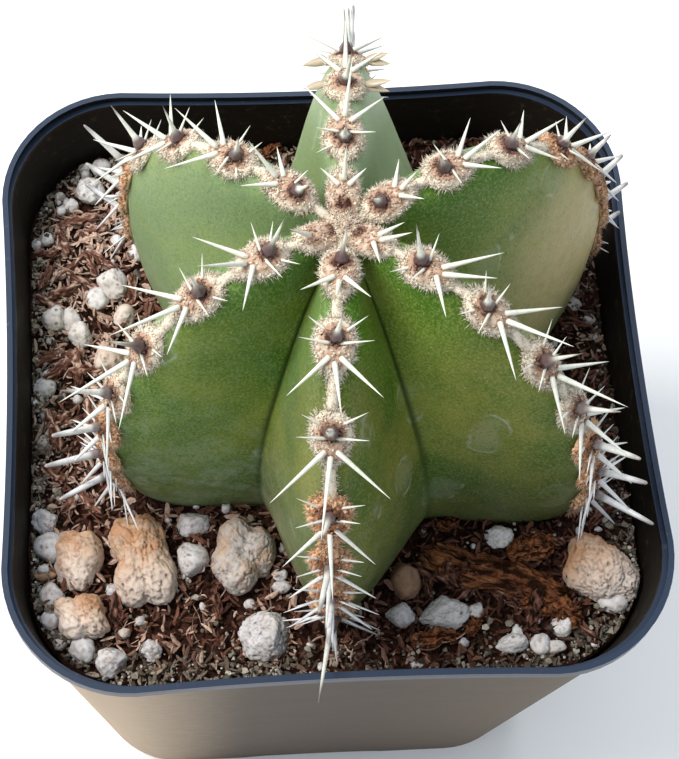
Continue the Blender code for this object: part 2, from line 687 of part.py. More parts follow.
def crown_point(degrees, share, lift):
    """A point over the skin near the apex, lifted off its seat there."""
    radius = CROWN_WOOL_RADIUS * share
    inner = STATIONS[:3]
    skin = float(np.interp(radius, [row[0] for row in inner], [row[1] for row in inner]))
    return from_axis(degrees, radius, skin + SEAT + WOOL_SEAT + lift)


def crown_cap(bm):
    """The woolly cushion over the sunken apex."""
    rings = [[crown_point(0, 0, CROWN_WOOL_HEIGHT)]]
    for share, rise in ((0.5, 0.85), (0.85, 0.5), (1.0, 0.2), (0.9, 0.0), (0.4, 0.0)):
        rings.append([crown_point(30 * k, share, CROWN_WOOL_HEIGHT * rise) for k in range(12)])
    rings.append([crown_point(0, 0, 0)])
    loft(bm, rings)


def build_crown():
    """The woolly apex and the innermost areole of each rib, as one body."""
    rng = random.Random(SEED + 5)
    crown = add_object("areoles_crown", mesh_from("areoles_crown", crown_cap), "areole_wool",
                       (STEM_X, STEM_Y, SOIL_TOP))
    tools = []
    spines = []
    for rib in range(len(RIBS)):
        arcs = [arc for arc in areole_arcs(rib) if arc <= CROWN_ARC]
        rings = wool_strip(rib, arcs, CROWN_START, CROWN_ARC)
        name = "crown_strip_%d" % rib
        mesh = mesh_from(name, lambda bm: loft(bm, rings))
        tools.append(add_object(name, mesh, "areole_wool", (STEM_X, STEM_Y, SOIL_TOP)))
        spines += [spine for arc in arcs for spine in areole_spines(rib, arc, rng, CROWN_SPINES)]
    tools += [spine_object(k, spine) for k, spine in enumerate(spines)]
    combine(crown, tools, "crown_spines", "UNION")


def main():
    clear_scene()
    build_pot()
    build_soil()
    build_stem()
    build_crown()
    for rib in range(len(RIBS)):
        build_row(rib)
    for index in range(len(STONES)):
        build_stone(index)
    for index in range(len(CHIPS)):
        build_chip(index)


main()
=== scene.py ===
"""A young Mexican fence post cactus in its nursery pot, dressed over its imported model, in metres."""

import functools
import json
import math
import random

import bmesh
import bpy
import numpy as np
from bpy.props import FloatProperty, FloatVectorProperty, IntProperty, PointerProperty
from bpy.types import Operator, Panel, PropertyGroup
from mathutils import Matrix, Vector, noise

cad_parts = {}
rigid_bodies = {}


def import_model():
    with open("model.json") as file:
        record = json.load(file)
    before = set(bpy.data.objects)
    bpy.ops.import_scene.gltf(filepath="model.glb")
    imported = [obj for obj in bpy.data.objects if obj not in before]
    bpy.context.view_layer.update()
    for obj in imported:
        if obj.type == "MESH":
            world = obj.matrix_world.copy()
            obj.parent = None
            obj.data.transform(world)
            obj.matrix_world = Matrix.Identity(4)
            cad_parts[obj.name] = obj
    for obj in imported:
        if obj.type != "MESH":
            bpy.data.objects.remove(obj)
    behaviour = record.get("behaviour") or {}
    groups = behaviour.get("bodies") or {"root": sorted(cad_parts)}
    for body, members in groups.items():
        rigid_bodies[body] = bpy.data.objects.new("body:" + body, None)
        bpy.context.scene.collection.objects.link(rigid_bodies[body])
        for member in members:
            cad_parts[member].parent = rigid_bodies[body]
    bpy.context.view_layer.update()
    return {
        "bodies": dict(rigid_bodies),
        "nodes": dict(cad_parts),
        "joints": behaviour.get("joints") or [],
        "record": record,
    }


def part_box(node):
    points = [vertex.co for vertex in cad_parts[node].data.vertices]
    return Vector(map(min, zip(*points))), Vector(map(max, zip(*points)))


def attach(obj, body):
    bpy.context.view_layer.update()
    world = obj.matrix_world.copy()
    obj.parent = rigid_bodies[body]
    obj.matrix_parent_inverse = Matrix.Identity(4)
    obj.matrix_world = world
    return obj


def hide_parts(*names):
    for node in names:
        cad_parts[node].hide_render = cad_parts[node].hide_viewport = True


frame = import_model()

bl_info = {
    "name": "Potted Fence Post Cactus",
    "version": (1, 0, 0),
    "blender": (4, 5, 0),
    "location": "3D View > Sidebar > Cactus",
    "description": "Builds a potted cactus with its wool, spines, stones, potting mix and studio stage",
    "category": "Add Mesh",
}

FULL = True
TENTHS = 10000  # tenths of a millimetre in a metre, for the tables

# The pot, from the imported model: half widths across the flats and corner radii
RIM_HALF, _, POT_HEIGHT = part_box("pot")[1]
LIP_HEIGHT, LEDGE = 0.0022, 0.0008
WALL_TOP_HALF, WALL_TOP_RADIUS = RIM_HALF - LEDGE, 0.0190
BASE_HALF, BASE_RADIUS = 0.0402, 0.0155
POT_WALL = 0.0009
WALL_BOW = 0.0008
FOOT_WALL, FLOOR_HEIGHT = 0.0014, 0.0022
FLOOR_THICKNESS, BOSS_RADIUS = 0.0012, 0.0070
ARCH_WIDTH, ARCH_HEIGHT, ARCH_DEPTH = 0.0250, 0.0017, 0.006
DRAIN_RADIUS, DRAIN_OFFSET, DRAIN_DEPTH = 0.0040, 0.0235, 0.010
CORNER_STEPS, SIDE_CUTS, HEIGHT_CUTS = 14, 9, 12

# The soil
SOIL_TOP = POT_HEIGHT - 0.0120
SOIL_TIP_X, SOIL_TIP_Y = 0.018, -0.034
SOIL_ROLL, SOIL_ROLL_LENGTH = 0.0011, 0.011
SOIL_EASE = 0.0060
WALL_GAP, WALL_CLEARANCE = 0.0004, 0.0001
FLOOR_GAP, FOOT_GAP = 0.0003, 0.0016
CLUMP_HEIGHT, CLUMP_SIZE = 0.0011, 0.0046
FINE_HEIGHT, FINE_SIZE, BED_DROP = 0.0004, 0.0013, 0.0009
# Least and most sizes of the loose bits on it
CHIP_LENGTH, CHIP_WIDTH = (0.0004, 0.0014), (0.00012, 0.00030)
FLAKE_LENGTH, FLAKE_WIDTH = (0.0007, 0.0020), (0.00020, 0.00050)
HUSK_LEAST, HUSK_MOST = [0.0022, 0.0009, 0.0005], [0.0040, 0.0018, 0.0010]
STRAND_LENGTH, STRAND_GIRTH = (0.0018, 0.0050), (0.00007, 0.00014)

# The stem's foot, its lean and its stations: crest radius and height, valley radius and height
STEM_X, STEM_Y = 0.0046, 0.0011
STEM_LEAN = -0.082
STATIONS = np.array([
    (0, 553, 0, 553), (30, 566, 18, 546), (80, 579, 46, 526), (142, 579, 82, 496), (200, 566, 114, 460),
    (256, 538, 148, 412), (322, 473, 188, 346), (372, 390, 224, 276), (402, 296, 248, 200),
    (416, 180, 260, 120), (406, 70, 260, 50), (388, 0, 252, 0), (355, -60, 235, -60),
    (290, -120, 200, -120), (150, -150, 120, -150), (0, -155, 0, -155),
]) / TENTHS
SOIL_STATION = 11
CREST_ROUNDING = 0.0050
FLANK_LEAD = 0.30
FOOT_FALL, FOOT_PLACE = 0.93, 11.8
DENT_SIZE = 0.011

# Ribs: name, direction in degrees, reach, first areole's distance from the apex, areole pitch factor,
# distance at which the wool turns rusty, growth of the spines
RIBS = [
    ("front_right", -34.9, 1.000, 0.0043, 1.00, 0.050, 1.00),
    ("back_right", 27.0, 1.090, 0.0075, 1.04, 0.036, 0.68),
    ("back", 85.5, 1.000, 0.0048, 1.00, 0.046, 0.90),
    ("back_left", 143.0, 0.960, 0.0094, 1.00, 0.041, 0.90),
    ("front_left", 204.7, 0.967, 0.0040, 1.00, 0.044, 1.00),
    ("front", 262.6, 0.965, 0.0080, 1.12, 0.037, 1.06),
]
RUST_LENGTH = 0.006
RIB_DEGREES = np.array([rib[1] for rib in RIBS])
RIB_REACH = np.array([rib[2] for rib in RIBS])

# Areoles: pitch near the ends and its swell on the shoulder, then the woolly pads and links
AREOLE_PITCH, PITCH_SWELL = 0.0090, 0.0027
SHOULDER, SHOULDER_SPREAD = 0.027, 0.014
PAD_HALF_WIDTH, PAD_HALF_LENGTH = 0.0033, 0.0044
PAD_NARROWING = 0.26
PAD_HUG = 0.55
LINK_HALF_WIDTH, OLD_LINK = 0.00078, 0.55
PAD_THICKNESS, LINK_THICKNESS = 0.0017, 0.0006
CROWN_ARC, YOUNG_ARC = 0.0115, 0.0100
CROWN_SPAN = (0.0016, CROWN_ARC + 0.0004)
# The cushion over the apex, and the dark spots where the lower spines leave a pad
CUSHION_HEIGHT, CUSHION_SIZE = 0.0556, np.array([0.0036, 0.0036, 0.0019])
CUSHION_TUFTS, CUSHION_HAIRS = 340, 800
ROOT_SPOTS = (0.0, -0.48), (-0.24, -0.30), (0.24, -0.30)
LAST_PLACE = 10.55
CROWN_SPINES = 0.75

# Spines: length, root radius, place along the areole, and how far they rise and lean to the apex
SPINE_KINDS = {
    "upper_central": (0.0085, 0.00112, 0.0012, 0.90, 0.36),
    "lower_central": (0.0105, 0.00044, -0.0020, 0.66, -0.72),
    "lateral": (0.0088, 0.00043, -0.0013, 0.30, -0.90),
    "radial": (0.0047, 0.00026, 0.0004, 0.42, 0.15),
}
SPINE_SEAT, SPINE_SIDE = 0.0011, 0.0006
SPINE_JITTER, LENGTH_JITTER = 0.10, 0.15
YOUNG_LENGTH, AGED_LENGTH = 0.80, 1.25
SHORTEST_SPINE = 0.0025
# The long central spine of the lowest front areole: its point over the pot's rim, root radius and age
LONG_TIP, LONG_RADIUS, LONG_AGE = np.array([-0.0051, -0.0545, 0.1000]), 0.0013, 0.5
# How much shorter the old spines of the back right rib are
STUNTED_RIB, STUNTED = 1, 0.30
SPINE_CLEARANCE = 0.0007
# Thinner radial spines, one to a side and a second one on old areoles: place, lean and length
MORE_SPINES, MORE_RADIUS, MORE_AGE = ((0.0022, 0.75, 0.0038), (-0.0012, -0.35, 0.0056)), 0.00022, 0.75
# Dried papery husks beside the back rib's upper areoles
HUSK_RIB, HUSK_ARCS = 2, (0.020, 0.052)
HUSK_LENGTH, HUSK_WIDTH, HUSK_THICKNESS = 0.0042, 0.00075, 0.00014
HUSK_WAYS, HUSK_AGE = ((-1, -0.25), (1, 0.35), (1, -0.1)), 1.5  # side and rise of each
SEED = 20

# Stones: name, x, y, width, length and height in tenths of a millimetre, turn in degrees, finish
STONES = [(name, *(size / TENTHS for size in sizes), turn, finish) for name, *sizes, turn, finish in (
    ("pumice_orange", -294, -272, 98, 148, 90, 8, "pumice_tan"),
    ("pumice_lobed", -140, -272, 94, 116, 76, -10, "pumice_grey"),
    ("pumice_left", -392, -262, 74, 94, 64, 0, "pumice_tan"),
    ("pumice_crumbly", -388, -356, 96, 78, 60, -30, "pumice_tan"),
    ("pumice_round", -114, -398, 80, 78, 64, 0, "perlite_white"),
    ("pumice_pink", 402, -318, 98, 112, 72, 20, "pumice_tan"),
    ("pumice_tan", 106, -318, 50, 62, 48, 15, "pumice_tan"),
    ("perlite_front", 160, -374, 70, 48, 46, 5, "perlite_white"),
    ("perlite_front_small", 94, -374, 46, 40, 38, 0, "perlite_white"),
    ("perlite_valley", -212, -212, 56, 42, 40, 0, "perlite_white"),
    ("perlite_mid_left", -216, -272, 50, 56, 46, 0, "perlite_white"),
    ("perlite_corner", -344, -426, 50, 48, 40, 0, "perlite_white"),
    ("perlite_wall_left", -444, -196, 42, 44, 38, 0, "perlite_white"),
    ("perlite_left_low", -286, -410, 36, 36, 30, 0, "perlite_white"),
    ("perlite_right", 256, -258, 48, 36, 34, 0, "perlite_white"),
    ("perlite_right_low", 258, -428, 52, 30, 30, 0, "perlite_white"),
    ("perlite_right_corner", 335, -405, 34, 34, 30, 0, "perlite_white"),
    ("pebble_left_a", -330, 214, 48, 58, 46, 20, "pumice_grey"),
    ("pebble_left_b", -428, 155, 40, 48, 40, 0, "pumice_grey"),
    ("pebble_left_c", -385, 122, 38, 46, 38, 30, "pumice_grey"),
    ("pebble_left_d", -340, 80, 48, 48, 40, 0, "pumice_tan"),
    ("pebble_back_left", -364, 386, 50, 48, 40, 0, "perlite_white"),
    ("pebble_back", -300, 420, 48, 62, 44, 0, "pumice_tan"),
    ("pebble_right_wall", 340, 390, 44, 40, 36, 0, "perlite_white"),
)]
# Small loose stones, the same way: x, y, width, length, and the finish where it isn't perlite
LOOSE_STONES = [([size / TENTHS for size in row[:4]], (*row[4:], "perlite_white")[0]) for row in (
    (-356, 189, 39, 41), (-401, 152, 36, 49, "pumice_grey"), (-312, 155, 39, 41, "pumice_tan"),
    (-452, 35, 38, 37), (-396, 463, 17, 17), (-349, 441, 34, 31), (-416, 384, 18, 18), (-397, 363, 25, 25),
    (-459, 298, 20, 20), (-438, 302, 28, 25), (-323, 295, 20, 20), (-292, 271, 25, 36), (-415, 234, 20, 15),
    (-434, 116, 15, 15), (-407, 77, 16, 16), (-441, -15, 19, 22), (-471, 8, 13, 13),
    (-455, -67, 27, 32, "pumice_grey"), (-445, -244, 51, 51), (-448, -283, 35, 21, "pumice_tan"),
    (-433, -317, 40, 43), (-436, -355, 33, 33), (-393, -408, 41, 45), (-343, -311, 17, 20),
    (-325, -381, 21, 18, "pumice_grey"), (-133, -343, 20, 17), (-85, -301, 24, 21), (-84, -320, 31, 21),
    (-98, -453, 16, 13), (-431, -400, 20, 20, "pumice_grey"), (437, -380, 49, 43), (457, -338, 18, 24),
    (209, -373, 26, 26), (267, -416, 18, 36), (300, -431, 33, 33), (331, -458, 51, 21, "pumice_grey"),
    (113, -456, 24, 12), (395, -445, 11, 11), (385, -428, 15, 12, "pumice_grey"),
    (298, -392, 15, 15, "pumice_tan"), (419, 140, 33, 26, "pumice_grey"), (445, 111, 20, 20, "pumice_grey"),
)]
STONE_SUNK = 0.34
STONE_CORE = 0.60
LOBE_EDGE, FACET_EDGE = 18, 22  # sharpness of the joins between lobes and round facets

# Bark chips: name, x, y, length, width and thickness in tenths of a millimetre, turn in degrees
CHIPS = [
    ("bark_chip_long", 240, -318, 186, 46, 20, -20),
    ("bark_chip_back", 60, 440, 120, 42, 16, 12),
]
CHIP_SUNK = 0.15
BARK_SWELL = 1.16
# Smaller bits of bark, the same way
BARK_BITS = [
    (303, -280, 70, 36, 24, 5), (178, -232, 30, 20, 16, 20), (165, -307, 36, 30, 22, 80),
    (142, -413, 66, 26, 16, 8), (345, -385, 50, 36, 18, -50), (300, -372, 46, 24, 16, -20),
    (202, -398, 30, 18, 16, 60), (-60, 452, 50, 22, 16, 30), (330, 420, 60, 26, 16, -12),
]

# Clumps of torn husk beside the long chip of bark and by the left wall: x and y
CLUMP_SPOTS = np.array([
    (330, -262), (285, -352), (365, -400), (150, -300), (-395, 250), (-360, 310), (-420, 60), (-370, -10),
    (-410, 205), (-330, 30), (-410, 290), (-445, 230), (-380, 220), (-300, 345), (-345, 250), (-440, 90),
    (-300, 200), (-440, 270), (-310, 300), (-385, 330), (-420, -30), (-350, -80), (-430, -120),
    (-395, -155), (-330, 120), (-455, 190),
]) / TENTHS
# Styles of stones: lobes as centre and size, number of broken facets, height of nodules, of lumps and of pits
PERLITE_STYLE = ((), 4, 0.18, 0.10, 0.05)
LOOSE_STYLE = ((), 1, 0.16, 0.10, 0.05)
PEBBLE_STYLE = ((), 5, 0.05, 0.11, 0.03)
SMOOTH_STYLE = ((), 7, 0.04, 0.07, 0.02)
STONE_STYLES = {
    "pumice_orange": ((((-0.34, 0.56, 0.10), 0.52), ((0.24, 0.50, 0.10), 0.56), ((0.10, 0.0, 0.05), 0.74),
                       ((-0.30, -0.50, 0.10), 0.62), ((0.34, -0.52, 0.10), 0.64)), 0, 0.06, 0.05, 0.06),
    "pumice_lobed": ((((-0.36, 0.46, 0.12), 0.60), ((0.38, 0.30, 0.06), 0.60), ((0.50, -0.04, 0.0), 0.46),
                      ((-0.42, -0.24, 0.08), 0.62), ((-0.10, -0.52, 0.10), 0.60)), 0, 0.03, 0.05, 0.02),
    "pumice_left": ((((-0.40, 0.45, 0.0), 0.56), ((0.32, 0.10, 0.08), 0.72), ((-0.36, -0.42, 0.0), 0.58),
                     ((0.14, -0.44, 0.0), 0.54)), 3, 0.03, 0.05, 0.03),
    "pumice_crumbly": ((((-0.55, -0.05, 0.0), 0.50), ((0.05, 0.40, 0.1), 0.56), ((0.42, -0.10, 0.05), 0.60),
                        ((-0.05, -0.50, 0.05), 0.60)), 0, 0.12, 0.06, 0.10),
    "pumice_pink": ((((-0.12, 0.52, 0.05), 0.58), ((0.0, 0.0, 0.10), 0.86), ((0.34, -0.44, 0.0), 0.62),
                     ((-0.44, 0.04, 0.0), 0.58)), 1, 0.07, 0.06, 0.06),
    "pumice_round": ((), 3, 0.10, 0.08, 0.10),
    **dict.fromkeys(("pumice_tan", "perlite_front", "perlite_front_small", "perlite_valley",
                     "perlite_mid_left", "perlite_right_low"), SMOOTH_STYLE),
}
# How dark a stone is made all over, with the colour of the painted shade in its hollows
STONE_SHADE = {"pumice_tan": 0.85}
# How far a pumice is worn pale towards its near end
WORN = {"pumice_orange": 0.15, "pumice_left": 0.30, "pumice_crumbly": 0.45, "pumice_pink": 0.35,
        "pumice_tan": -2}
# How much larger the rough surface is than the plain solid
STONE_SWELL = {"pumice_pink": 1.14, "pumice_lobed": 1.06, "pumice_left": 1.08, "perlite_front": 1.13}
# Share of pale bloom on the clockwise and the anticlockwise flank of each rib
PALE = np.array([(0.05, 0.25), (0.08, 0.35), (1.00, 0.75), (0.50, 0.60), (0.38, 0.08), (0.24, 0.0)])

# Lesser colours of the finishes
LOW_SKIN, SKIN_SPECK, SKIN_DOT = (0.085, 0.130, 0.060), (0.26, 0.32, 0.10), (0.42, 0.48, 0.26)
# Painted shade that darkens the skin of the front rib and of the front right rib
PAINTED_SKIN_SHADE = (0.86, 0.72, 0.78)
OLD_WOOL = (0.820, 0.540, 0.340)
SPINE_STREAK, HUSK_TAN = (0.44, 0.40, 0.37), (0.43, 0.36, 0.26)
# The inner wall colour is painted shade inside the pot
INNER_WALL_SHADE, WALL_MUD, RIM_SCUFF = (0.002, 0.0016, 0.0014), (0.090, 0.062, 0.046), (0.22, 0.24, 0.28)
GRIT = (0.20, 0.185, 0.150)
GRIT_TONES = (0.06, 0.05, 0.04), (0.24, 0.22, 0.18), (0.55, 0.52, 0.48)
CRUMB_TONES = (0.35, 0.33, 0.33), (0.55, 0.54, 0.56), (0.74, 0.73, 0.76)
PERLITE_STAIN = (0.52, 0.49, 0.49)
# The hollow and pit colours are painted shade in a stone's creases and pits
STONE_DIRT, STONE_HOLLOW_SHADE, STONE_PIT_SHADE = (0.22, 0.125, 0.080), (0.13, 0.065, 0.035), (0.045, 0.025, 0.016)
# The bark's light colour is a painted highlight on its fibres, its gap and crack colours painted shade
BARK_RED, BARK_HIGHLIGHT = (0.35, 0.140, 0.060), (0.44, 0.22, 0.12)
BARK_GAP_SHADE, BARK_CRACK_SHADE = (0.016, 0.005, 0.002), (0.014, 0.005, 0.002)
# Where the sunned patch of skin is, and the corner of the pot where painted light pales the wall
SCAR_PLACE, PAINTED_LIGHT_CORNER = (0.0400, 0.0130, SOIL_TOP + 0.026), (-0.046, -0.046, 0.0)

# The photograph's viewpoint
VIEW_TARGET = (-0.00976, 0.01097, 0.09395)
VIEW_AZIMUTH, VIEW_ELEVATION, VIEW_ROLL = -5.93, 64.92, 3.25
VIEW_DISTANCE = 0.3103
VIEW_LENS, VIEW_SHIFT_X, VIEW_SHIFT_Y = 94.17, 0.1054, -0.1054
# Lamps: place, size and tone, and the tone of the surroundings
KEY_LAMP = (-0.42, 0.07, 0.69), 0.34, (1.0, 0.95, 0.87)
FILL_LAMP = (0.10, 0.60, 0.70), 0.50, (0.90, 0.95, 1.0)
SKY_TONE = (0.86, 0.93, 1.0)


# Settings
def metres(name, description, default, **limits):
    return FloatProperty(name=name, description=description, default=default, unit="LENGTH",
                         precision=4, min=0.0, **limits)


def colour(name, of, default):
    return FloatVectorProperty(name=name, description="Colour of " + of, default=default, size=3,
                               subtype="COLOR", min=0.0, max=1.0)


def count_of(name, description, default, most):
    return IntProperty(name=name, description=description, default=default, min=0, max=most)


def power(name, description, default):
    return FloatProperty(name=name, description=description, default=default, min=0.0)


def share(name, description, default):
    return FloatProperty(name=name, description=description, default=default, subtype="FACTOR",
                         min=0.0, max=1.0)


class PotSettings(PropertyGroup):
    wall: metres("Wall", "Thickness of the pot's wall", POT_WALL)
    edge: metres("Edge", "Rounding of the pot's edges", 0.00025)
    plastic: colour("Plastic", "the pot's plastic", (0.024, 0.0175, 0.013))
    # The rim colour is partly the lip's own plastic and partly a painted reflection of the bluish sky
    rim: colour("Rim", "the lip, which is cleaner than the wall", (0.022, 0.034, 0.063))
    dust_colour: colour("Dust", "the dried dust on the wall", (0.465, 0.350, 0.243))
    dust: share("Dust amount", "How much dust lies on the wall", 0.335)


class StemSettings(PropertyGroup):
    # The deep green also paints the shade in the valleys' creases
    deep: colour("Deep green", "the skin low in the valleys", (0.022, 0.042, 0.006))
    leaf: colour("Skin green", "the skin on the flanks", (0.200, 0.245, 0.030))
    fresh: colour("Fresh green", "the youngest skin beside the crests", (0.050, 0.135, 0.002))
    bloom_colour: colour("Bloom", "the waxy bloom", (0.330, 0.430, 0.310))
    pale: colour("Pale flank", "the flanks that are pale all over", (0.240, 0.320, 0.190))
    bloom: share("Bloom amount", "How much bloom covers the skin", 0.40)
    scar: colour("Scar", "the sunned patch on the back right rib", (0.460, 0.345, 0.180))
    relief: metres("Relief", "Height of the skin's gentle dents", 0.00022)


class WoolSettings(PropertyGroup):
    cream: colour("Cream", "young wool at the rim of a pad", (0.755, 0.695, 0.585))
    tan: colour("Tan", "the wool inside a pad", (0.470, 0.310, 0.225))
    dark: colour("Dark", "the ring round the central spine", (0.055, 0.014, 0.008))
    rust: colour("Rust", "old wool near the soil", (0.430, 0.190, 0.085))
    hairs: count_of("Hairs", "Hairs on each pad", 620, 2000)
    tufts: count_of("Tufts", "Crumbs of wool on each pad", 225, 600)
    tuft_size: metres("Tuft size", "Radius of a crumb of wool", 0.00020)
    hair_length: metres("Hair length", "Length of the longest hairs", 0.00112)
    hair_radius: metres("Hair radius", "Radius of a hair at its root", 0.00008)


class SpineSettings(PropertyGroup):
    young: colour("Young spine", "the young spines", (0.700, 0.715, 0.620))
    aged: colour("Old spine", "the old spines", (0.640, 0.650, 0.680))
    root: colour("Root", "the central spines at their bulb", (0.095, 0.055, 0.055))
    tip: colour("Tip", "the central spines' tips", (0.070, 0.040, 0.035))


class SoilSettings(PropertyGroup):
    # The dark mix colour is partly the damp mix and partly painted shade in the gaps between chips
    dark: colour("Dark mix", "the mix in its gaps", (0.012, 0.003, 0.001))
    brown: colour("Brown fibre", "most coir chips", (0.178, 0.078, 0.054))
    pale: colour("Pale fibre", "the palest coir chips", (0.600, 0.430, 0.350))
    chips: count_of("Chips", "Coir chips on the surface", 5800, 6200)
    grains: count_of("Grains", "Mineral grains along the wall", 2600, 5000)
    clumps: count_of("Clumps", "Torn lumps of husk", 34, 200)
    strands: count_of("Strands", "Long fibres", 44, 400)
    crumbs: count_of("Perlite crumbs", "White crumbs", 56, 400)


class StoneSettings(PropertyGroup):
    tan: colour("Tan pumice", "the tan pumice", (0.480, 0.335, 0.240))
    rust: colour("Rust stain", "the stained parts of pumice", (0.430, 0.205, 0.095))
    grey: colour("Grey pumice", "the grey pumice", (0.450, 0.415, 0.400))
    white: colour("Perlite", "perlite", (0.540, 0.535, 0.565))
    bark: colour("Bark", "the bark chips", (0.170, 0.060, 0.026))


class StageSettings(PropertyGroup):
    floor: colour("Floor", "the floor", (0.900, 0.900, 0.900))
    key: power("Key light", "Power of the main lamp", 6.9)
    fill: power("Fill light", "Power of the soft front lamp", 2.6)
    sky: power("Surroundings", "Strength of the even light", 0.76)


# Shapes shared by several pieces
def spline(rows, place):
    """The smooth curve through rows of numbers, at places counted in rows."""
    last = len(rows) - 1
    place = np.clip(np.asarray(place, float), 0.0, last)
    k = np.minimum(place.astype(int), last - 1)
    t = (place - k)[..., None]
    a, b, c, d = rows[np.maximum(k - 1, 0)], rows[k], rows[k + 1], rows[np.minimum(k + 2, last)]
    return 0.5 * (2 * b + (c - a) * t + (2 * a - 5 * b + 4 * c - d) * t ** 2
                  + (3 * b - a - 3 * c + d) * t ** 3)


def from_axis(degrees, radius, height):
    """Points at a radius and height from the leaning stem's foot."""
    angle = np.radians(degrees)
    radius, height, angle = np.broadcast_arrays(radius, height, angle)
    return np.stack([STEM_X + STEM_LEAN * height + radius * np.cos(angle),
                     STEM_Y + radius * np.sin(angle), SOIL_TOP + height], -1)


def skin_points(rib, place, across):
    """Points of the skin: across is 0 on a rib's crest and -1 or 1 in its valleys."""
    rib, place, across = np.broadcast_arrays(rib, np.asarray(place, float), np.asarray(across, float))
    side = np.where(across >= 0, 1, -1)
    t = np.abs(across)[..., None]
    crest_radius, crest_height, valley_radius, valley_height = np.moveaxis(spline(STATIONS, place), -1, 0)
    degrees, reach = RIB_DEGREES[rib], RIB_REACH[rib]
    other = (rib + side) % len(RIBS)
    gap = ((RIB_DEGREES[other] - degrees) * side) % 360
    crest = from_axis(degrees, crest_radius * reach, crest_height)
    valley_reach = valley_radius * (reach + RIB_REACH[other]) / 2
    valley = from_axis(degrees + side * gap / 2, valley_reach, valley_height)
    angle = np.radians(degrees)
    sideways = np.stack([-np.sin(angle), np.cos(angle), 0 * angle], -1) * side[..., None]
    rounding = CREST_ROUNDING * np.tanh(0.5 * crest_radius / CREST_ROUNDING)
    shoulder = crest + sideways * rounding[..., None]
    lead = valley + (crest - valley) * FLANK_LEAD
    u = 1 - t
    return crest * u ** 3 + shoulder * 3 * u * u * t + lead * 3 * u * t * t + valley * t ** 3


def ring_size(height):
    """How wide a ball of unit size is at a height."""
    return np.sqrt(np.maximum(1 - height ** 2, 1e-9))


def held(values):
    """Values held between 0 and 1."""
    return np.clip(values, 0, 1)


def fewer(count, part=2):
    return count if FULL else count // part


def unit(vectors):
    """Each vector at length one."""
    return vectors / np.maximum(np.linalg.norm(vectors, axis=-1, keepdims=True), 1e-12)


def skin_normals(rib, place, across):
    """Outward directions of the skin."""
    step = 0.02
    down = skin_points(rib, place + step, across) - skin_points(rib, place - step, across)
    over = skin_points(rib, place, across + step) - skin_points(rib, place, across - step)
    return unit(np.cross(down, over))


@functools.lru_cache(maxsize=None)
def crest_arcs(rib):
    """Matching rows of places and distances from the apex along a rib's crest."""
    places = np.arange(int(SOIL_STATION / 0.05) + 1) * 0.05
    points = skin_points(rib, places, 0.0)
    steps = np.linalg.norm(np.diff(points, axis=0), axis=1)
    return places, np.concatenate([[0.0], np.cumsum(steps)])


def place_at(rib, arc):
    """Places along a rib's crest at distances from the apex."""
    places, arcs = crest_arcs(rib)
    return np.interp(arc, arcs, places)


def last_arc(rib):
    """How far from the apex a rib's wool ends."""
    return float(np.interp(LAST_PLACE, *crest_arcs(rib)))


def areole_arcs(rib):
    """Distances of a rib's areoles from the apex."""
    limit = last_arc(rib) - PAD_HALF_LENGTH
    arc, pitch = RIBS[rib][3], RIBS[rib][4]
    found = []
    while arc < limit:
        found.append(arc)
        swell = math.exp(-((arc - SHOULDER) / SHOULDER_SPREAD) ** 2)
        arc += pitch * (AREOLE_PITCH + PITCH_SWELL * swell)
    return found


def areole_frame(rib, arc):
    """Seat of an areole and its outward, towards-apex and sideways directions."""
    place = place_at(rib, arc)
    outward = skin_normals(rib, place, 0.0)
    towards = unit(skin_points(rib, place - 0.1, 0.0) - skin_points(rib, place + 0.1, 0.0))
    return skin_points(rib, place, 0.0), outward, towards, np.cross(outward, towards)


@functools.lru_cache(maxsize=None)
def girth_table(rib, arc):
    """Matching rows of across values and distances sideways along the skin at an areole."""
    across = np.linspace(-0.95, 0.95, 39)
    ring = skin_points(rib, place_at(rib, arc), across)
    steps = np.linalg.norm(np.diff(ring, axis=0), axis=1)
    run = np.concatenate([[0.0], np.cumsum(steps)])
    return across, run - run[len(run) // 2]


def pot_inside(z):
    """Half width and corner radius of the pot's inner wall at a height."""
    rise = (z - FLOOR_HEIGHT) / (POT_HEIGHT - LIP_HEIGHT - FLOOR_HEIGHT)
    half = BASE_HALF + (WALL_TOP_HALF - BASE_HALF) * rise - POT_WALL
    radius = BASE_RADIUS + (WALL_TOP_RADIUS - BASE_RADIUS) * rise - POT_WALL
    return half, radius


def room_to_wall(x, y, z=SOIL_TOP):
    """Distance from a point inside the pot to its inner wall."""
    half, radius = pot_inside(z)
    dx, dy = np.abs(x) - (half - radius), np.abs(y) - (half - radius)
    outside = np.hypot(np.maximum(dx, 0), np.maximum(dy, 0))
    return radius - outside - np.minimum(np.maximum(dx, dy), 0)


def off_wall(points):
    """Points pressed in where they would pass the pot's inner wall."""
    x, y, z = points.T
    past = np.maximum(WALL_BOW + WALL_CLEARANCE - room_to_wall(x, y, z), 0)
    points[:, :2] *= (1 - 1.25 * past / np.hypot(x, y))[:, None]
    return points


def rough(points, size, octaves=4, shift=0.0):
    """Fractal noise between about -1 and 1 at each point, with bumps of a size."""
    move = Vector((shift, -shift, 2 * shift))
    return np.array([noise.fractal(Vector(point) / size + move, 1.0, 2.0, octaves) for point in points])


def soil_heights(x, y):
    """The soil's tilted and rolling plane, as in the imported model."""
    x, y = np.asarray(x, float), np.asarray(y, float)
    roll = np.array([noise.noise(Vector((a, b, 0.0)) / SOIL_ROLL_LENGTH) for a, b in zip(x, y)])
    return SOIL_TOP + SOIL_TIP_X * x + SOIL_TIP_Y * y + SOIL_ROLL * roll


def bed_heights(x, y):
    """The soil's plane with its clumps and hollows."""
    spots = np.stack([x, y, 0 * np.asarray(x)], -1)
    return soil_heights(x, y) + CLUMP_HEIGHT * rough(spots, CLUMP_SIZE, 2)


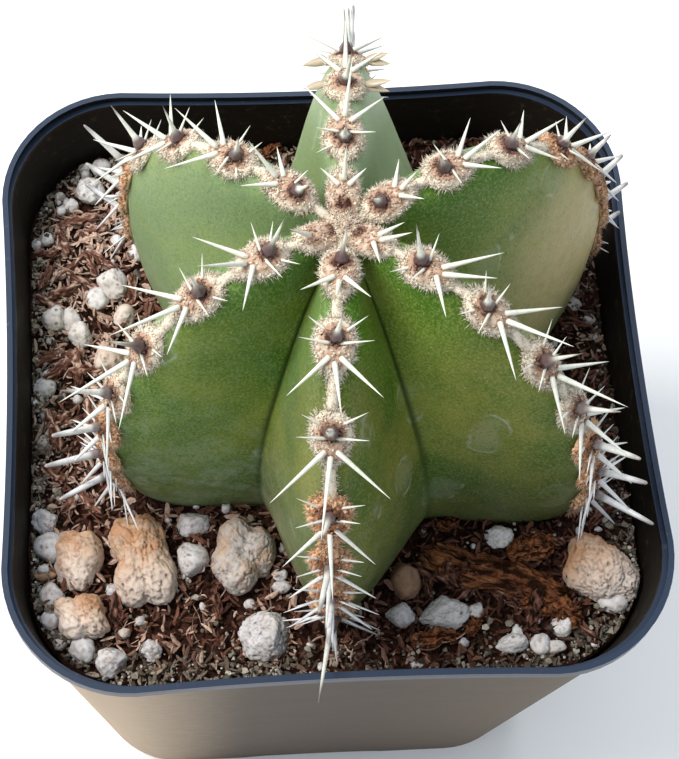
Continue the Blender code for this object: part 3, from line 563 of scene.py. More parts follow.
def stem_room(x, y):
    """Distance from a point to the stem's outline at the soil surface, negative inside it."""
    across = np.linspace(-1, 1, 13)[:-1]
    ring = np.concatenate([skin_points(rib, SOIL_STATION, across) for rib in range(len(RIBS))])
    angles = np.arctan2(ring[:, 1] - STEM_Y, ring[:, 0] - STEM_X)
    order = np.argsort(angles)
    radii = np.hypot(ring[:, 0] - STEM_X, ring[:, 1] - STEM_Y)[order]
    here = np.arctan2(y - STEM_Y, x - STEM_X)
    edge = np.interp(here, angles[order], radii, period=2 * np.pi)
    return np.hypot(x - STEM_X, y - STEM_Y) - edge


def stone_centre(stone):
    """Middle of a stone that is sunk a little in the soil."""
    _, x, y, _, _, height, _, _ = stone
    return np.array([x, y, soil_heights([x], [y])[0] + height * (0.5 - STONE_SUNK)])


# Objects and meshes
def start(name, add, **sizes):
    """Add a primitive with nothing else selected, and name it."""
    bpy.ops.object.select_all(action="DESELECT")
    add(**sizes)
    piece = bpy.context.object
    if piece is None:
        raise RuntimeError("the primitive for %s was not added" % name)
    piece.name = piece.data.name = name
    return piece


def ball(name, segments, rings):
    """A unit ball, to shape into a piece or a model."""
    return start(name, bpy.ops.mesh.primitive_uv_sphere_add, segments=segments, ring_count=rings, radius=1.0)


def lump(name, detail):
    """A unit ball of even triangles, to shape into a stone."""
    return start(name, bpy.ops.mesh.primitive_ico_sphere_add, subdivisions=detail, radius=1.0)


def points_of(piece):
    flat = np.empty(len(piece.data.vertices) * 3)
    piece.data.vertices.foreach_get("co", flat)
    return flat.reshape(-1, 3)


def set_points(piece, points):
    piece.data.vertices.foreach_set("co", np.ascontiguousarray(points, float).ravel())
    piece.data.update()


def store(piece, name, values):
    """Keep a number for each point, for the material to read."""
    attribute = piece.data.attributes.new(name, "FLOAT", "POINT")
    attribute.data.foreach_set("value", np.ascontiguousarray(values, np.float32).ravel())


def apply_modifiers(piece):
    bpy.context.view_layer.objects.active = piece
    for modifier in list(piece.modifiers):
        bpy.ops.object.modifier_apply(modifier=modifier.name)


def in_edit(piece, *steps):
    """Run steps of edit mode, each a test of what to select and an operator with its settings."""
    bpy.context.view_layer.objects.active = piece
    piece.select_set(True)
    bpy.ops.object.mode_set(mode="EDIT")
    for kind, test, operator, settings in steps:
        bpy.ops.mesh.select_mode(type=kind)
        bpy.ops.mesh.select_all(action="DESELECT")
        cage = bmesh.from_edit_mesh(piece.data)
        for part in cage.edges if kind == "EDGE" else cage.faces:
            part.select_set(bool(test(part)))
        cage.select_flush_mode()
        bmesh.update_edit_mesh(piece.data)
        if operator(**settings) != {"FINISHED"}:
            raise RuntimeError("an edit of %s did not finish" % piece.name)
    bpy.ops.object.mode_set(mode="OBJECT")


def settle(piece, material, slot, *nodes, angle=None):
    """Give a finished piece its material, shading and body, and hide the nodes it stands for; the slot is not
    used.
    """
    piece.data.materials.clear()
    piece.data.materials.append(material)
    piece.data.shade_smooth()
    if angle is not None:
        piece.data.set_sharp_from_angle(angle=math.radians(angle))
    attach(piece, "root")
    if nodes:
        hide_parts(*nodes)
    return piece


class Heap:
    """Copies of modelled shapes, gathered into one mesh."""

    def __init__(self):
        self.count = 0
        self.points, self.loops, self.sizes = [], [], []
        self.values = {}

    def add(self, model, points, **values):
        """Add copies of a model, one for each row of its moved points."""
        copies, each = points.shape[:2]
        sizes = np.array([len(face.vertices) for face in model.data.polygons])
        loops = np.concatenate([list(face.vertices) for face in model.data.polygons])
        starts = self.count + each * np.arange(copies)
        self.points.append(points.reshape(-1, 3))
        self.loops.append((loops[None] + starts[:, None]).ravel())
        self.sizes.append(np.tile(sizes, copies))
        for name, value in values.items():
            value = np.asarray(value, float)
            value = value[:, None] if value.ndim == 1 else value
            spread = np.broadcast_to(value, (copies, each))
            self.values.setdefault(name, []).append(spread.ravel())
        self.count += copies * each

    def make(self, piece, in_pot=False):
        """Put the gathered copies into a piece's mesh, pressed in by the pot's wall if they lie in it."""
        mesh = bpy.data.meshes.new(piece.name)
        points = np.concatenate(self.points)
        points = off_wall(points) if in_pot else points
        sizes = np.concatenate(self.sizes)
        loops = np.concatenate(self.loops)
        mesh.vertices.add(self.count)
        mesh.loops.add(len(loops))
        mesh.polygons.add(len(sizes))
        mesh.vertices.foreach_set("co", points.ravel())
        mesh.loops.foreach_set("vertex_index", loops.astype(np.int32))
        mesh.polygons.foreach_set("loop_start", np.concatenate([[0], np.cumsum(sizes)[:-1]]).astype(np.int32))
        mesh.update(calc_edges=True)
        old, name = piece.data, piece.data.name
        piece.data = mesh
        bpy.data.meshes.remove(old)
        mesh.name = name
        for key, parts in self.values.items():
            store(piece, key, np.concatenate(parts))
        return piece


def moved(model, places, frames):
    """A model's points at each place, turned and sized by each frame's columns."""
    return np.asarray(places)[:, None] + np.einsum("mij,nj->mni", frames, points_of(model))


def frames_along(ways, widths, lengths, turns=None):
    """Frames whose Z axis runs along each way, for shapes modelled upright at unit size."""
    ways = unit(ways)
    helper = np.where(np.abs(ways[:, 2:]) < 0.9, [[0.0, 0.0, 1.0]], [[1.0, 0.0, 0.0]])
    side = unit(np.cross(helper, ways))
    if turns is not None:
        other = np.cross(ways, side)
        side = side * np.cos(turns)[:, None] + other * np.sin(turns)[:, None]
    front = np.cross(ways, side)
    widths = np.asarray(widths, float)
    widths = np.broadcast_to(widths if widths.ndim == 2 else widths.reshape(-1, 1), (len(ways), 2))
    return np.stack([side * widths[:, :1], front * widths[:, 1:], ways * np.reshape(lengths, (-1, 1))], -1)


# Materials: small functions that add a node beside the outputs given to them
def give(socket, value):
    """Link an output to a socket, or set the socket to a value."""
    if isinstance(value, bpy.types.NodeSocket):
        socket.id_data.links.new(value, socket)
    else:
        socket.default_value = (*value, 1.0) if socket.type == "RGBA" else value


def add_node(kind, inputs, **settings):
    """A node of a kind with its inputs, in the tree that they are in."""
    tree = next(value.id_data for value in inputs.values() if isinstance(value, bpy.types.NodeSocket))
    node = tree.nodes.new("ShaderNode" + kind)
    for key, value in settings.items():
        setattr(node, key, value)
    for socket, value in inputs.items():
        give(node.inputs[socket], value)
    return node


def mix(factor, first, second, how="MIX"):
    """One colour over another by a factor."""
    return add_node("Mix", {0: factor, 6: first, 7: second}, data_type="RGBA", blend_type=how).outputs[2]


def ease(value, low, high, to_low=0.0, to_high=1.0):
    """A value eased from one range to another."""
    ends = {"Value": value, "From Min": low, "From Max": high, "To Min": to_low, "To Max": to_high}
    return add_node("MapRange", ends, interpolation_type="SMOOTHSTEP").outputs["Result"]


def maths(operation, *values):
    return add_node("Math", dict(enumerate(values)), operation=operation).outputs[0]


def times(first, second):
    return maths("MULTIPLY", first, second)


def plus(first, second):
    return maths("ADD", first, second)


def noise_at(place, scale, detail=4.0, roughness=0.5, distortion=0.0):
    return add_node("TexNoise", {"Vector": place, "Scale": scale, "Detail": detail, "Roughness": roughness,
                                 "Distortion": distortion}).outputs["Fac"]


def scaled(place, by):
    return add_node("VectorMath", {0: place, 1: by}, operation="MULTIPLY").outputs[0]


def far_from(place, spot):
    return add_node("VectorMath", {0: place, 1: spot}, operation="DISTANCE").outputs["Value"]


def field(place, name):
    """A number kept for each point of the piece."""
    node = place.id_data.nodes.new("ShaderNodeAttribute")
    node.attribute_name = name
    return node.outputs["Fac"]


def placed(place, name, fill, outputs, **values):
    """The outputs of a node group, built once and given these values."""
    tree = bpy.data.node_groups.get(name)
    if tree is None:
        tree = bpy.data.node_groups.new(name, "ShaderNodeTree")
        kinds = {label: "Float" if isinstance(value, float) else "Color" for label, value in values.items()}
        for way, sockets in (("INPUT", {"Vector": "Vector", **kinds}), ("OUTPUT", outputs)):
            for label, kind in sockets.items():
                tree.interface.new_socket(name=label, in_out=way, socket_type="NodeSocket" + kind)
        ends = tree.nodes.new("NodeGroupInput").outputs, tree.nodes.new("NodeGroupOutput").inputs
        for label, value in fill(ends[0]).items():
            give(ends[1][label], value)
    node = place.id_data.nodes.new("ShaderNodeGroup")
    node.node_tree = tree
    for label, value in {"Vector": place, **values}.items():
        give(node.inputs[label], value)
    return node.outputs


def grain(place, scale, first, second):
    """Fine uneven grain: a colour that wavers between two, and a height for bumps."""
    def fill(given):
        value = noise_at(given["Vector"], given["Scale"], 6.0, 0.65)
        return {"Colour": mix(ease(value, 0.3, 0.7), given["First"], given["Second"]), "Height": value}
    outputs = {"Colour": "Color", "Height": "Float"}
    return placed(place, "grain", fill, outputs, Scale=scale, First=first, Second=second)


def patches(place, scale, share):
    """Soft irregular patches: a mask that covers about a given share of the surface."""
    def fill(given):
        value = noise_at(given["Vector"], given["Scale"], 5.0, 0.6, 0.6)
        edge = maths("SUBTRACT", 0.72, times(given["Share"], 0.44))
        return {"Mask": ease(value, maths("SUBTRACT", edge, 0.08), plus(edge, 0.08))}
    return placed(place, "patches", fill, {"Mask": "Float"}, Scale=scale, Share=share)["Mask"]


def pits(place, scale, width):
    """Small pits: a mask of their dark bottoms and a height for bumps."""
    def fill(given):
        warp = add_node("TexNoise", {"Vector": given["Vector"], "Scale": given["Scale"], "Detail": 2.0})
        bent = add_node("Mix", {0: 0.0006, 4: given["Vector"], 5: warp.outputs["Color"]}, data_type="VECTOR")
        cells = add_node("TexVoronoi", {"Vector": bent.outputs[1], "Scale": given["Scale"]})
        far = cells.outputs["Distance"]
        return {"Mask": ease(far, given["Width"], times(given["Width"], 0.4)),
                "Height": ease(far, 0.0, given["Width"])}
    return placed(place, "pits", fill, {"Mask": "Float", "Height": "Float"}, Scale=scale, Width=width)


def new_finish(name):
    """A new material, its shader's inputs and the place on the object."""
    material = bpy.data.materials.new(name + "_finish")
    material.use_nodes = True
    nodes = material.node_tree.nodes
    return material, nodes["Principled BSDF"].inputs, nodes.new("ShaderNodeTexCoord").outputs["Object"]


def dress(shader, **looks):
    """Set the shader's inputs, whose names are given with underscores for spaces."""
    for name, value in looks.items():
        give(shader[name.replace("_", " ")], value)


def bump(shader, height, distance, strength=1.0):
    """Let a height raise the shader's surface."""
    node = add_node("Bump", {"Height": height, "Distance": distance, "Strength": strength})
    give(shader["Normal"], node.outputs["Normal"])


def skin_material(settings):
    """Waxy green skin with a bluish bloom, dried water marks and fine speckles, painted shade in its creases
    and on its front ribs, and some painted light on its left flanks.
    """
    material, shader, place = new_finish("stem_skin")
    across, down = field(place, "across"), field(place, "down")
    wide = noise_at(place, 55.0, 4.0, 0.55)
    flank = mix(ease(wide, 0.35, 0.65), settings.leaf, settings.fresh)
    young = times(ease(down, 0.60, 0.30), ease(across, 1.0, 0.4))
    low = ease(down, 0.55, 0.95)
    base = mix(times(low, 0.55), mix(young, flank, settings.fresh), LOW_SKIN)
    streaks = noise_at(place, 600.0, 5.0, 0.7)
    amount = times(patches(place, 130.0, 0.55), ease(streaks, 0.30, 0.75))
    amount = times(amount, plus(0.15, times(low, 0.85)))
    axes = add_node("SeparateXYZ", {0: place}).outputs
    # More bloom towards the left: partly the waxy bloom, partly painted light on the left-hand flanks
    bloom_and_light_west = ease(axes["X"], 0.012, -0.012, 0.35, 2.1)
    base = mix(times(times(amount, bloom_and_light_west), settings.bloom), base, settings.bloom_colour)
    pale = times(field(place, "pale"), ease(wide, 0.2, 0.7, 0.75, 1.0))
    base = mix(pale, base, settings.pale)
    marks = water_marks(place)
    base = mix(times(marks, 0.75), base, settings.bloom_colour)
    ragged = plus(far_from(place, SCAR_PLACE), times(noise_at(place, 260.0, 5.0, 0.65), 0.010))
    scar = times(ease(ragged, 0.036, 0.012), ease(streaks, 0.35, 0.62, 0.62, 0.95))
    base = mix(scar, base, settings.scar)
    speckle = noise_at(place, 2600.0, 3.0, 0.6)
    base = mix(ease(speckle, 0.45, 0.66, 0.0, 0.50), base, SKIN_SPECK)
    base = mix(ease(speckle, 0.47, 0.32, 0.0, 0.30), base, settings.deep)
    base = mix(times(pits(place, 900.0, 0.16)["Mask"], 0.40), base, SKIN_DOT)
    # Painted shade: the skin of the front right rib and of the front rib is darkened
    painted_shade_right = times(ease(axes["X"], 0.008, 0.020), ease(axes["Y"], 0.004, -0.006))
    front = times(ease(axes["Y"], -0.012, -0.022), ease(maths("ABSOLUTE", axes["X"]), 0.016, 0.010))
    base = mix(maths("MAXIMUM", painted_shade_right, front), base, PAINTED_SKIN_SHADE, "MULTIPLY")
    # Painted shade: the deep green darkens the creases of the valleys, less so low down
    crease = times(ease(across, 0.950, 1.0, 0.0, 0.88), ease(down, 0.50, 0.90, 1.0, 0.45))
    dress(shader, Base_Color=mix(crease, base, settings.deep), Roughness=ease(amount, 0.0, 1.0, 0.46, 0.62),
          Subsurface_Weight=0.12, Subsurface_Radius=(0.4, 0.8, 0.2), Subsurface_Scale=0.0015,
          Specular_IOR_Level=0.16)
    relief = plus(times(noise_at(place, 2400.0, 4.0, 0.6), 0.6), times(marks, 0.25))
    bump(shader, relief, 0.00012, 0.8)
    return material


def water_marks(place):
    """Faint loops that dried drops left on the skin."""
    warp = noise_at(place, 160.0, 3.0, 0.6)
    cells = add_node("TexVoronoi", {"Vector": scaled(place, (1.0, 1.0, 0.62)), "Scale": 88.0})
    far = plus(cells.outputs["Distance"], times(warp, 0.34))
    ring = times(ease(far, 0.385, 0.415), ease(far, 0.455, 0.420))
    ring = times(ring, ease(noise_at(place, 330.0, 3.0, 0.6), 0.38, 0.60))
    fill = ease(far, 0.42, 0.34, 0.0, 0.30)
    some = ease(noise_at(place, 70.0, 2.0), 0.43, 0.54)
    return times(maths("MAXIMUM", ring, fill), some)


def wool_material(settings):
    """Dense felt: cream at a pad's rim, tan inside, dark round the central spine, rusty with age."""
    material, shader, place = new_finish("areole_wool")
    tint, age = field(place, "tint"), field(place, "age")
    young = mix(ease(tint, 0.0, 0.5), settings.cream, settings.tan)
    old = mix(ease(tint, 0.0, 0.5), OLD_WOOL, settings.rust)
    base = mix(ease(age, 0.10, 0.90), young, old)
    base = mix(ease(tint, 0.62, 1.0), base, settings.dark)
    felt = grain(place, 2600.0, (0.80, 0.76, 0.71), (1.0, 1.0, 1.0))
    dress(shader, Base_Color=mix(1.0, base, felt["Colour"], "MULTIPLY"), Roughness=0.85, Sheen_Weight=0.25,
          Sheen_Roughness=0.4, Specular_IOR_Level=0.25)
    bump(shader, felt["Height"], 0.00012, 0.9)
    return material


def spine_material(settings):
    """Horny spines: pale shafts, and dark bulbs and tips on the central ones."""
    material, shader, place = new_finish("spine")
    along, age, central = field(place, "along"), field(place, "age"), field(place, "central")
    shaft = mix(ease(age, 0.25, 0.9), settings.young, settings.aged)
    streak = noise_at(place, 1500.0, 3.0, 0.6)
    shaft = mix(ease(streak, 0.42, 0.75, 0.0, 0.45), shaft, SPINE_STREAK)
    shaft = mix(ease(age, 1.1, 1.4), shaft, HUSK_TAN)
    root = ease(along, plus(0.26, times(field(place, "dusk"), 0.5)), 0.16)
    shaft = mix(times(root, central), shaft, settings.root)
    shaft = mix(times(ease(along, 0.66, 0.95), times(central, 0.85)), shaft, settings.tip)
    dress(shader, Base_Color=shaft, Roughness=0.30, Subsurface_Weight=0.08, Subsurface_Radius=(0.6, 0.5, 0.3),
          Subsurface_Scale=0.0006)
    bump(shader, streak, 0.00003, 0.6)
    return material


def pot_material(settings):
    """Thin moulded plastic: a bluish lip free of dust, its blue partly a painted reflection of the sky, over
    a wall dulled by dried dust, with painted light on its front left corner and painted shade inside.
    """
    material, shader, place = new_finish("pot_plastic")
    axes = add_node("SeparateXYZ", {0: place}).outputs
    lip = ease(axes["Z"], POT_HEIGHT - LIP_HEIGHT - 0.0003, POT_HEIGHT - LIP_HEIGHT + 0.0002)
    plastic = grain(place, 900.0, settings.plastic, tuple(c * 1.25 for c in settings.plastic))
    smear = scaled(place, (1.0, 1.0, 4.0))
    dust = patches(smear, 38.0, 0.70)
    fine = noise_at(smear, 420.0, 6.0, 0.7)
    streak = noise_at(scaled(place, (1.0, 1.0, 14.0)), 70.0, 5.0, 0.6)
    amount = times(plus(0.27, times(dust, 0.06)), ease(fine, 0.25, 0.75, 0.74, 1.0))
    amount = times(amount, ease(streak, 0.30, 0.66, 0.86, 1.08))
    # Painted light: the wall is made paler round its front left corner, where the key lamp falls, by adding
    # to the dust
    far = far_from(scaled(place, (1.0, 1.0, 0.0)), PAINTED_LIGHT_CORNER)
    amount = plus(amount, ease(plus(far, times(fine, 0.012)), 0.040, 0.012, 0.0, 3.1))
    # The wall is also made paler towards its right end
    amount = plus(amount, ease(axes["X"], 0.0, 0.042, 0.0, 0.40))
    outside = field(place, "outside")
    inside = maths("SUBTRACT", 1.0, outside)
    wall = mix(times(times(amount, outside), settings.dust), plastic["Colour"], settings.dust_colour)
    # Painted shade: the inside of the pot is darkened nearly to black
    wall = mix(times(inside, 0.72), wall, INNER_WALL_SHADE)
    muddy = ease(noise_at(place, 520.0, 6.0, 0.7), 0.56, 0.72, 0.0, 0.6)
    wall = mix(times(inside, muddy), wall, WALL_MUD)
    scuff = ease(noise_at(place, 700.0, 6.0, 0.75), 0.60, 0.80, 0.0, 0.35)
    # Painted reflection: the lip's blue stands partly for the sky reflected in it
    rim = mix(scuff, settings.rim, RIM_SCUFF)
    dress(shader, Base_Color=mix(times(lip, outside), wall, rim), Roughness=ease(lip, 0.0, 1.0, 0.62, 0.33),
          Specular_IOR_Level=0.22)
    bands = times(maths("SINE", times(axes["Z"], 4200.0)),
                  ease(axes["Z"], POT_HEIGHT - 0.018, POT_HEIGHT - LIP_HEIGHT))
    bump(shader, plus(times(fine, 0.7), times(bands, 0.12)), 0.00010, 0.6)
    return material


def soil_material(settings):
    """Dark mix that shows between the chips: a damp mix, darkened further as painted shade in the gaps."""
    material, shader, place = new_finish("potting_mix")
    mould = grain(place, 1300.0, settings.dark, tuple(c * 0.4 for c in settings.brown))
    dress(shader, Base_Color=mould["Colour"], Roughness=0.9, Specular_IOR_Level=0.1)
    bump(shader, mould["Height"], 0.0004)
    return material


def litter_material(name, dark, middle, pale, roughness=0.8):
    """Loose bits whose colour goes from dark to pale by each bit's tint, which on the coir carries painted
    light and shade as well.
    """
    material, shader, place = new_finish(name)
    tint = field(place, "tint")
    base = mix(ease(tint, 0.0, 0.55), dark, middle)
    base = mix(ease(tint, 0.55, 1.0), base, pale)
    base = mix(times(field(place, "grey"), 0.75), base, GRIT)
    rough_face = grain(place, 2200.0, (0.55, 0.52, 0.50), (1.0, 1.0, 1.0))
    dress(shader, Base_Color=mix(1.0, base, rough_face["Colour"], "MULTIPLY"), Roughness=roughness,
          Specular_IOR_Level=0.15)
    bump(shader, rough_face["Height"], 0.00010)
    return material


def stone_material(name, main, stain, low):
    """Porous stone: stained on top, greyer below, with soil on it, painted shade in its creases and pits,
    paler at a worn end, and painted light on the stones to the right and at the back.
    """
    material, shader, place = new_finish(name)
    face = grain(place, 1100.0, tuple(c * 0.86 for c in main), tuple(min(c * 1.12, 1.0) for c in main))
    base = mix(times(patches(place, 330.0, 0.45), 0.75), face["Colour"], stain)
    base = mix(ease(field(place, "rise"), 0.62, 0.1, 0.0, 0.85), base, low)
    dirt = ease(noise_at(place, 900.0, 5.0, 0.7), 0.53, 0.68, 0.0, 0.55)
    base = mix(dirt, base, STONE_DIRT)
    # The paler colour, for a stone's worn end and for the painted light on stones to the right and at the
    # back
    clean = tuple(((c + d) / 2) ** 0.5 for c, d in zip(main, low))
    base = mix(times(field(place, "clean"), 0.8), base, clean)
    # Painted shade in the creases and pits
    base = mix(times(field(place, "hollow"), 0.62), base, STONE_HOLLOW_SHADE)
    holes = pits(place, 620.0, 0.26)
    some = times(ease(noise_at(place, 260.0, 2.0), 0.45, 0.60), 0.6)
    base = mix(times(holes["Mask"], some), base, STONE_PIT_SHADE)
    dress(shader, Base_Color=base, Roughness=0.88, Specular_IOR_Level=0.3)
    bump(shader, plus(times(face["Height"], 0.9), times(holes["Height"], some)), 0.00022, 0.9)
    return material


def bark_material(settings):
    """Reddish fibrous bark, split along its length, with painted shade in its splits and between its fibres
    and painted highlights on them.
    """
    material, shader, place = new_finish("bark")
    face = grain(place, 1500.0, tuple(c * 0.35 for c in settings.bark), tuple(c * 1.5 for c in settings.bark))
    strand = field(place, "strand")
    base = mix(ease(strand, 0.50, 0.85, 0.0, 0.75), face["Colour"], BARK_RED)
    # Painted shade in the gaps between sunken fibres
    base = mix(ease(strand, 0.42, 0.15, 0.0, 0.92), base, BARK_GAP_SHADE)
    course = times(field(place, "course"), 0.22)
    lengthways = add_node("CombineXYZ", {0: course, 1: field(place, "breadth")}).outputs[0]
    fibre = noise_at(lengthways, 2600.0, 4.0, 0.65, 0.4)
    # Painted shade in the fine cracks and painted highlights on the fibres between them
    base = mix(ease(fibre, 0.50, 0.34, 0.0, 0.85), base, BARK_CRACK_SHADE)
    base = mix(ease(fibre, 0.55, 0.75, 0.0, 0.70), base, BARK_HIGHLIGHT)
    dress(shader, Base_Color=base, Roughness=0.8, Specular_IOR_Level=0.1)
    bump(shader, plus(fibre, times(face["Height"], 0.4)), 0.0004)
    return material


# Pot
class AddPot(Operator):
    """Mould the square pot with its lip, feet, floor and drain holes"""

    bl_idname = "cactus.add_pot"
    bl_label = "Pot"

    def execute(self, context):
        settings = context.scene.cactus_pot
        height = POT_HEIGHT - LIP_HEIGHT
        pot = start("pot_shell", bpy.ops.mesh.primitive_cube_add, size=2 * BASE_HALF)
        points = points_of(pot)
        points[:, 2] = np.where(points[:, 2] > 0, height, 0.0)
        set_points(pot, points)
        in_edit(
            pot,
            ("EDGE", upright, bpy.ops.mesh.bevel,
             {"offset": BASE_RADIUS, "segments": CORNER_STEPS, "affect": "EDGES"}),
            ("EDGE", upright, bpy.ops.mesh.subdivide, {"number_cuts": HEIGHT_CUTS}),
            ("EDGE", long_and_level, bpy.ops.mesh.subdivide, {"number_cuts": SIDE_CUTS}),
            ("FACE", lambda face: face.normal.z > 0.9, bpy.ops.mesh.delete, {"type": "FACE"}),
        )
        taper_wall(pot, height)
        lip = RIM_HALF / WALL_TOP_HALF
        in_edit(
            pot,
            ("EDGE", on_border, bpy.ops.mesh.extrude_region_move, {}),
            ("EDGE", on_border, bpy.ops.transform.resize,
             {"value": (lip, lip, 1.0), "center_override": (0.0, 0.0, height)}),
            ("EDGE", on_border, bpy.ops.mesh.extrude_region_move,
             {"TRANSFORM_OT_translate": {"value": (0.0, 0.0, LIP_HEIGHT)}}),
            ("FACE", lambda face: face.normal.z < -0.9 and face.calc_center_median().z < 1e-4,
             bpy.ops.mesh.inset, {"thickness": FOOT_WALL}),
        )
        raise_floor(pot)
        wall = pot.modifiers.new("wall", "SOLIDIFY")
        wall.thickness, wall.offset = settings.wall, -1.0
        wall.use_quality_normals = True
        apply_modifiers(pot)
        cut_openings(pot)
        edge = pot.modifiers.new("edge", "BEVEL")
        edge.width, edge.segments, edge.angle_limit = settings.edge, 2, math.radians(50)
        edge.use_clamp_overlap = True
        apply_modifiers(pot)
        add_boss(pot)
        points = points_of(pot)[:, :2]
        normals = np.array([tuple(vertex.normal) for vertex in pot.data.vertices])[:, :2]
        outwards = np.sign(points) * np.maximum(np.abs(points) - (BASE_HALF - BASE_RADIUS), 0)
        store(pot, "outside", np.where(np.sum(normals * unit(outwards), axis=1) > -0.5, 1.0, 0.0))
        settle(pot, pot_material(settings), "pot_plastic", "pot", angle=35)
        return {"FINISHED"}


def taper_wall(pot, height):
    """Widen the wall upwards and bow its sides in by a little."""
    points = points_of(pot)
    rise = points[:, 2] / height
    points[:, :2] *= (1 + (WALL_TOP_HALF / BASE_HALF - 1) * rise)[:, None]
    half = BASE_HALF + (WALL_TOP_HALF - BASE_HALF) * rise
    flat = half * (1 - BASE_RADIUS / BASE_HALF)
    for a, b in ((0, 1), (1, 0)):
        on_side = (np.abs(points[:, b]) < flat) & (np.abs(points[:, a]) > half - 1e-5)
        bow = WALL_BOW * rise * (1 - (points[:, b] / flat) ** 2)
        points[:, a] -= np.where(on_side, np.sign(points[:, a]) * bow, 0.0)
    set_points(pot, points)


def raise_floor(pot):
    """Lift the floor inside the foot ring."""
    in_edit(pot, ("FACE", lambda face: face.normal.z < -0.9 and face.calc_area() > BASE_HALF ** 2,
                  bpy.ops.transform.translate, {"value": (0.0, 0.0, FLOOR_HEIGHT)}))


def cut_openings(pot):
    """Cut the low arches between the feet, and the drain holes."""
    for quarter in range(4):
        turn = Matrix.Rotation(quarter * math.pi / 2, 4, "Z")
        side = turn @ Matrix.Translation((BASE_HALF, 0, 0)) @ Matrix.Rotation(math.pi / 2, 4, "Y")
        bore_hole(pot, side, (ARCH_HEIGHT, ARCH_WIDTH / 2, ARCH_DEPTH))
        x, y = (-1, 1)[quarter % 2] * DRAIN_OFFSET, (-1, 1)[quarter // 2] * DRAIN_OFFSET
        bore_hole(pot, Matrix.Translation((x, y, FLOOR_HEIGHT)), (DRAIN_RADIUS, DRAIN_RADIUS, DRAIN_DEPTH))


def bore_hole(pot, place, size):
    """Cut a round or oval hole through the pot."""
    cutter = start("cutter", bpy.ops.mesh.primitive_cylinder_add, vertices=40, radius=1.0, depth=1.0)
    cutter.data.transform(place @ Matrix.Diagonal((*size, 1.0)))
    hole = pot.modifiers.new("hole", "BOOLEAN")
    hole.object, hole.operation, hole.solver = cutter, "DIFFERENCE", "EXACT"
    apply_modifiers(pot)
    bpy.data.objects.remove(cutter, do_unlink=True)


def add_boss(pot):
    """Join the round pad in the middle of the base."""
    boss = start("boss", bpy.ops.mesh.primitive_cylinder_add, vertices=48, radius=BOSS_RADIUS,
                 depth=FLOOR_HEIGHT, location=(0, 0, FLOOR_HEIGHT / 2 + 0.0001))
    bpy.ops.object.transform_apply(location=True, rotation=True, scale=True)
    soften = boss.modifiers.new("edge", "BEVEL")
    soften.width, soften.segments = 0.0003, 2
    apply_modifiers(boss)
    boss.select_set(True)
    pot.select_set(True)
    bpy.context.view_layer.objects.active = pot
    bpy.ops.object.join()


def upright(edge):
    """True for an edge that runs up the pot."""
    way = edge.verts[1].co - edge.verts[0].co
    return abs(way.z) > 0.7 * way.length


def on_border(edge):
    """True for an edge of an open border."""
    return edge.is_boundary


def long_and_level(edge):
    """True for an edge along one of the pot's flat sides."""
    return edge.calc_length() > 0.9 * 2 * (BASE_HALF - BASE_RADIUS) and not upright(edge)


# Potting mix
class AddSoil(Operator):
    """Fill the pot with potting mix"""

    bl_idname = "cactus.add_soil"
    bl_label = "Potting mix"

    def execute(self, context):
        steps = 130 if FULL else 90
        soil = start("soil_bed", bpy.ops.mesh.primitive_grid_add, x_subdivisions=steps, y_subdivisions=steps,
                     size=2.0)
        half, radius = pot_inside(SOIL_TOP)
        half, radius = half - WALL_GAP, radius - WALL_GAP
        points = points_of(soil)
        angle = np.arctan2(points[:, 1], points[:, 0])
        cos, sin = np.abs(np.cos(angle)), np.abs(np.sin(angle))
        flat = half - radius
        along = flat * (cos + sin)
        corner = along + np.sqrt(np.maximum(radius ** 2 - (flat * (cos - sin)) ** 2, 0))
        side = half / np.maximum(cos, sin)
        edge = np.where(side * np.minimum(cos, sin) < flat, side, corner)
        points[:, :2] *= (edge * np.maximum(cos, sin))[:, None]
        x, y = points[:, 0], points[:, 1]
        open_soil = held(stem_room(x, y) / SOIL_EASE)
        fine = FINE_HEIGHT * rough(points, FINE_SIZE, 3, 5.0)
        points[:, 2] = SOIL_TOP + (bed_heights(x, y) - SOIL_TOP) * open_soil + fine - BED_DROP
        set_points(soil, points)
        floor = FLOOR_HEIGHT + FLOOR_THICKNESS + FLOOR_GAP
        shrink = (pot_inside(floor)[0] - FOOT_GAP) / half
        in_edit(
            soil,
            ("EDGE", on_border, bpy.ops.mesh.extrude_region_move, {}),
            ("EDGE", on_border, bpy.ops.transform.resize,
             {"value": (shrink, shrink, 0.0), "center_override": (0.0, 0.0, floor)}),
            ("EDGE", on_border, bpy.ops.mesh.edge_face_add, {}),
        )
        settle(soil, soil_material(context.scene.cactus_soil), "potting_mix", "soil")
        return {"FINISHED"}


def open_spots(rng, count, test, room=0.0008, share=0.85):
    """Random spots on the open soil, with room to the wall and off the stones, that pass a test."""
    half = pot_inside(SOIL_TOP)[0]
    found = np.empty((0, 2))
    while len(found) < count:
        tries = rng.uniform(-half, half, (4 * count, 2))
        x, y = tries.T
        keep = (room_to_wall(x, y) > room) & (stem_room(x, y) > 0.0004)
        found = np.concatenate([found, tries[keep & clear_of_stones(x, y, share) & test(x, y)]])
    return found[:count]


def clear_of_stones(x, y, share):
    """Which points lie off the stones, each taken at a share of its size."""
    clear = np.ones(len(x), bool)
    for _, sx, sy, width, length, _, turn, _ in STONES:
        a = math.radians(turn)
        u = (x - sx) * math.cos(a) + (y - sy) * math.sin(a)
        v = (y - sy) * math.cos(a) - (x - sx) * math.sin(a)
        clear &= (u / (width / 2)) ** 2 + (v / (length / 2)) ** 2 > share ** 2
    return clear


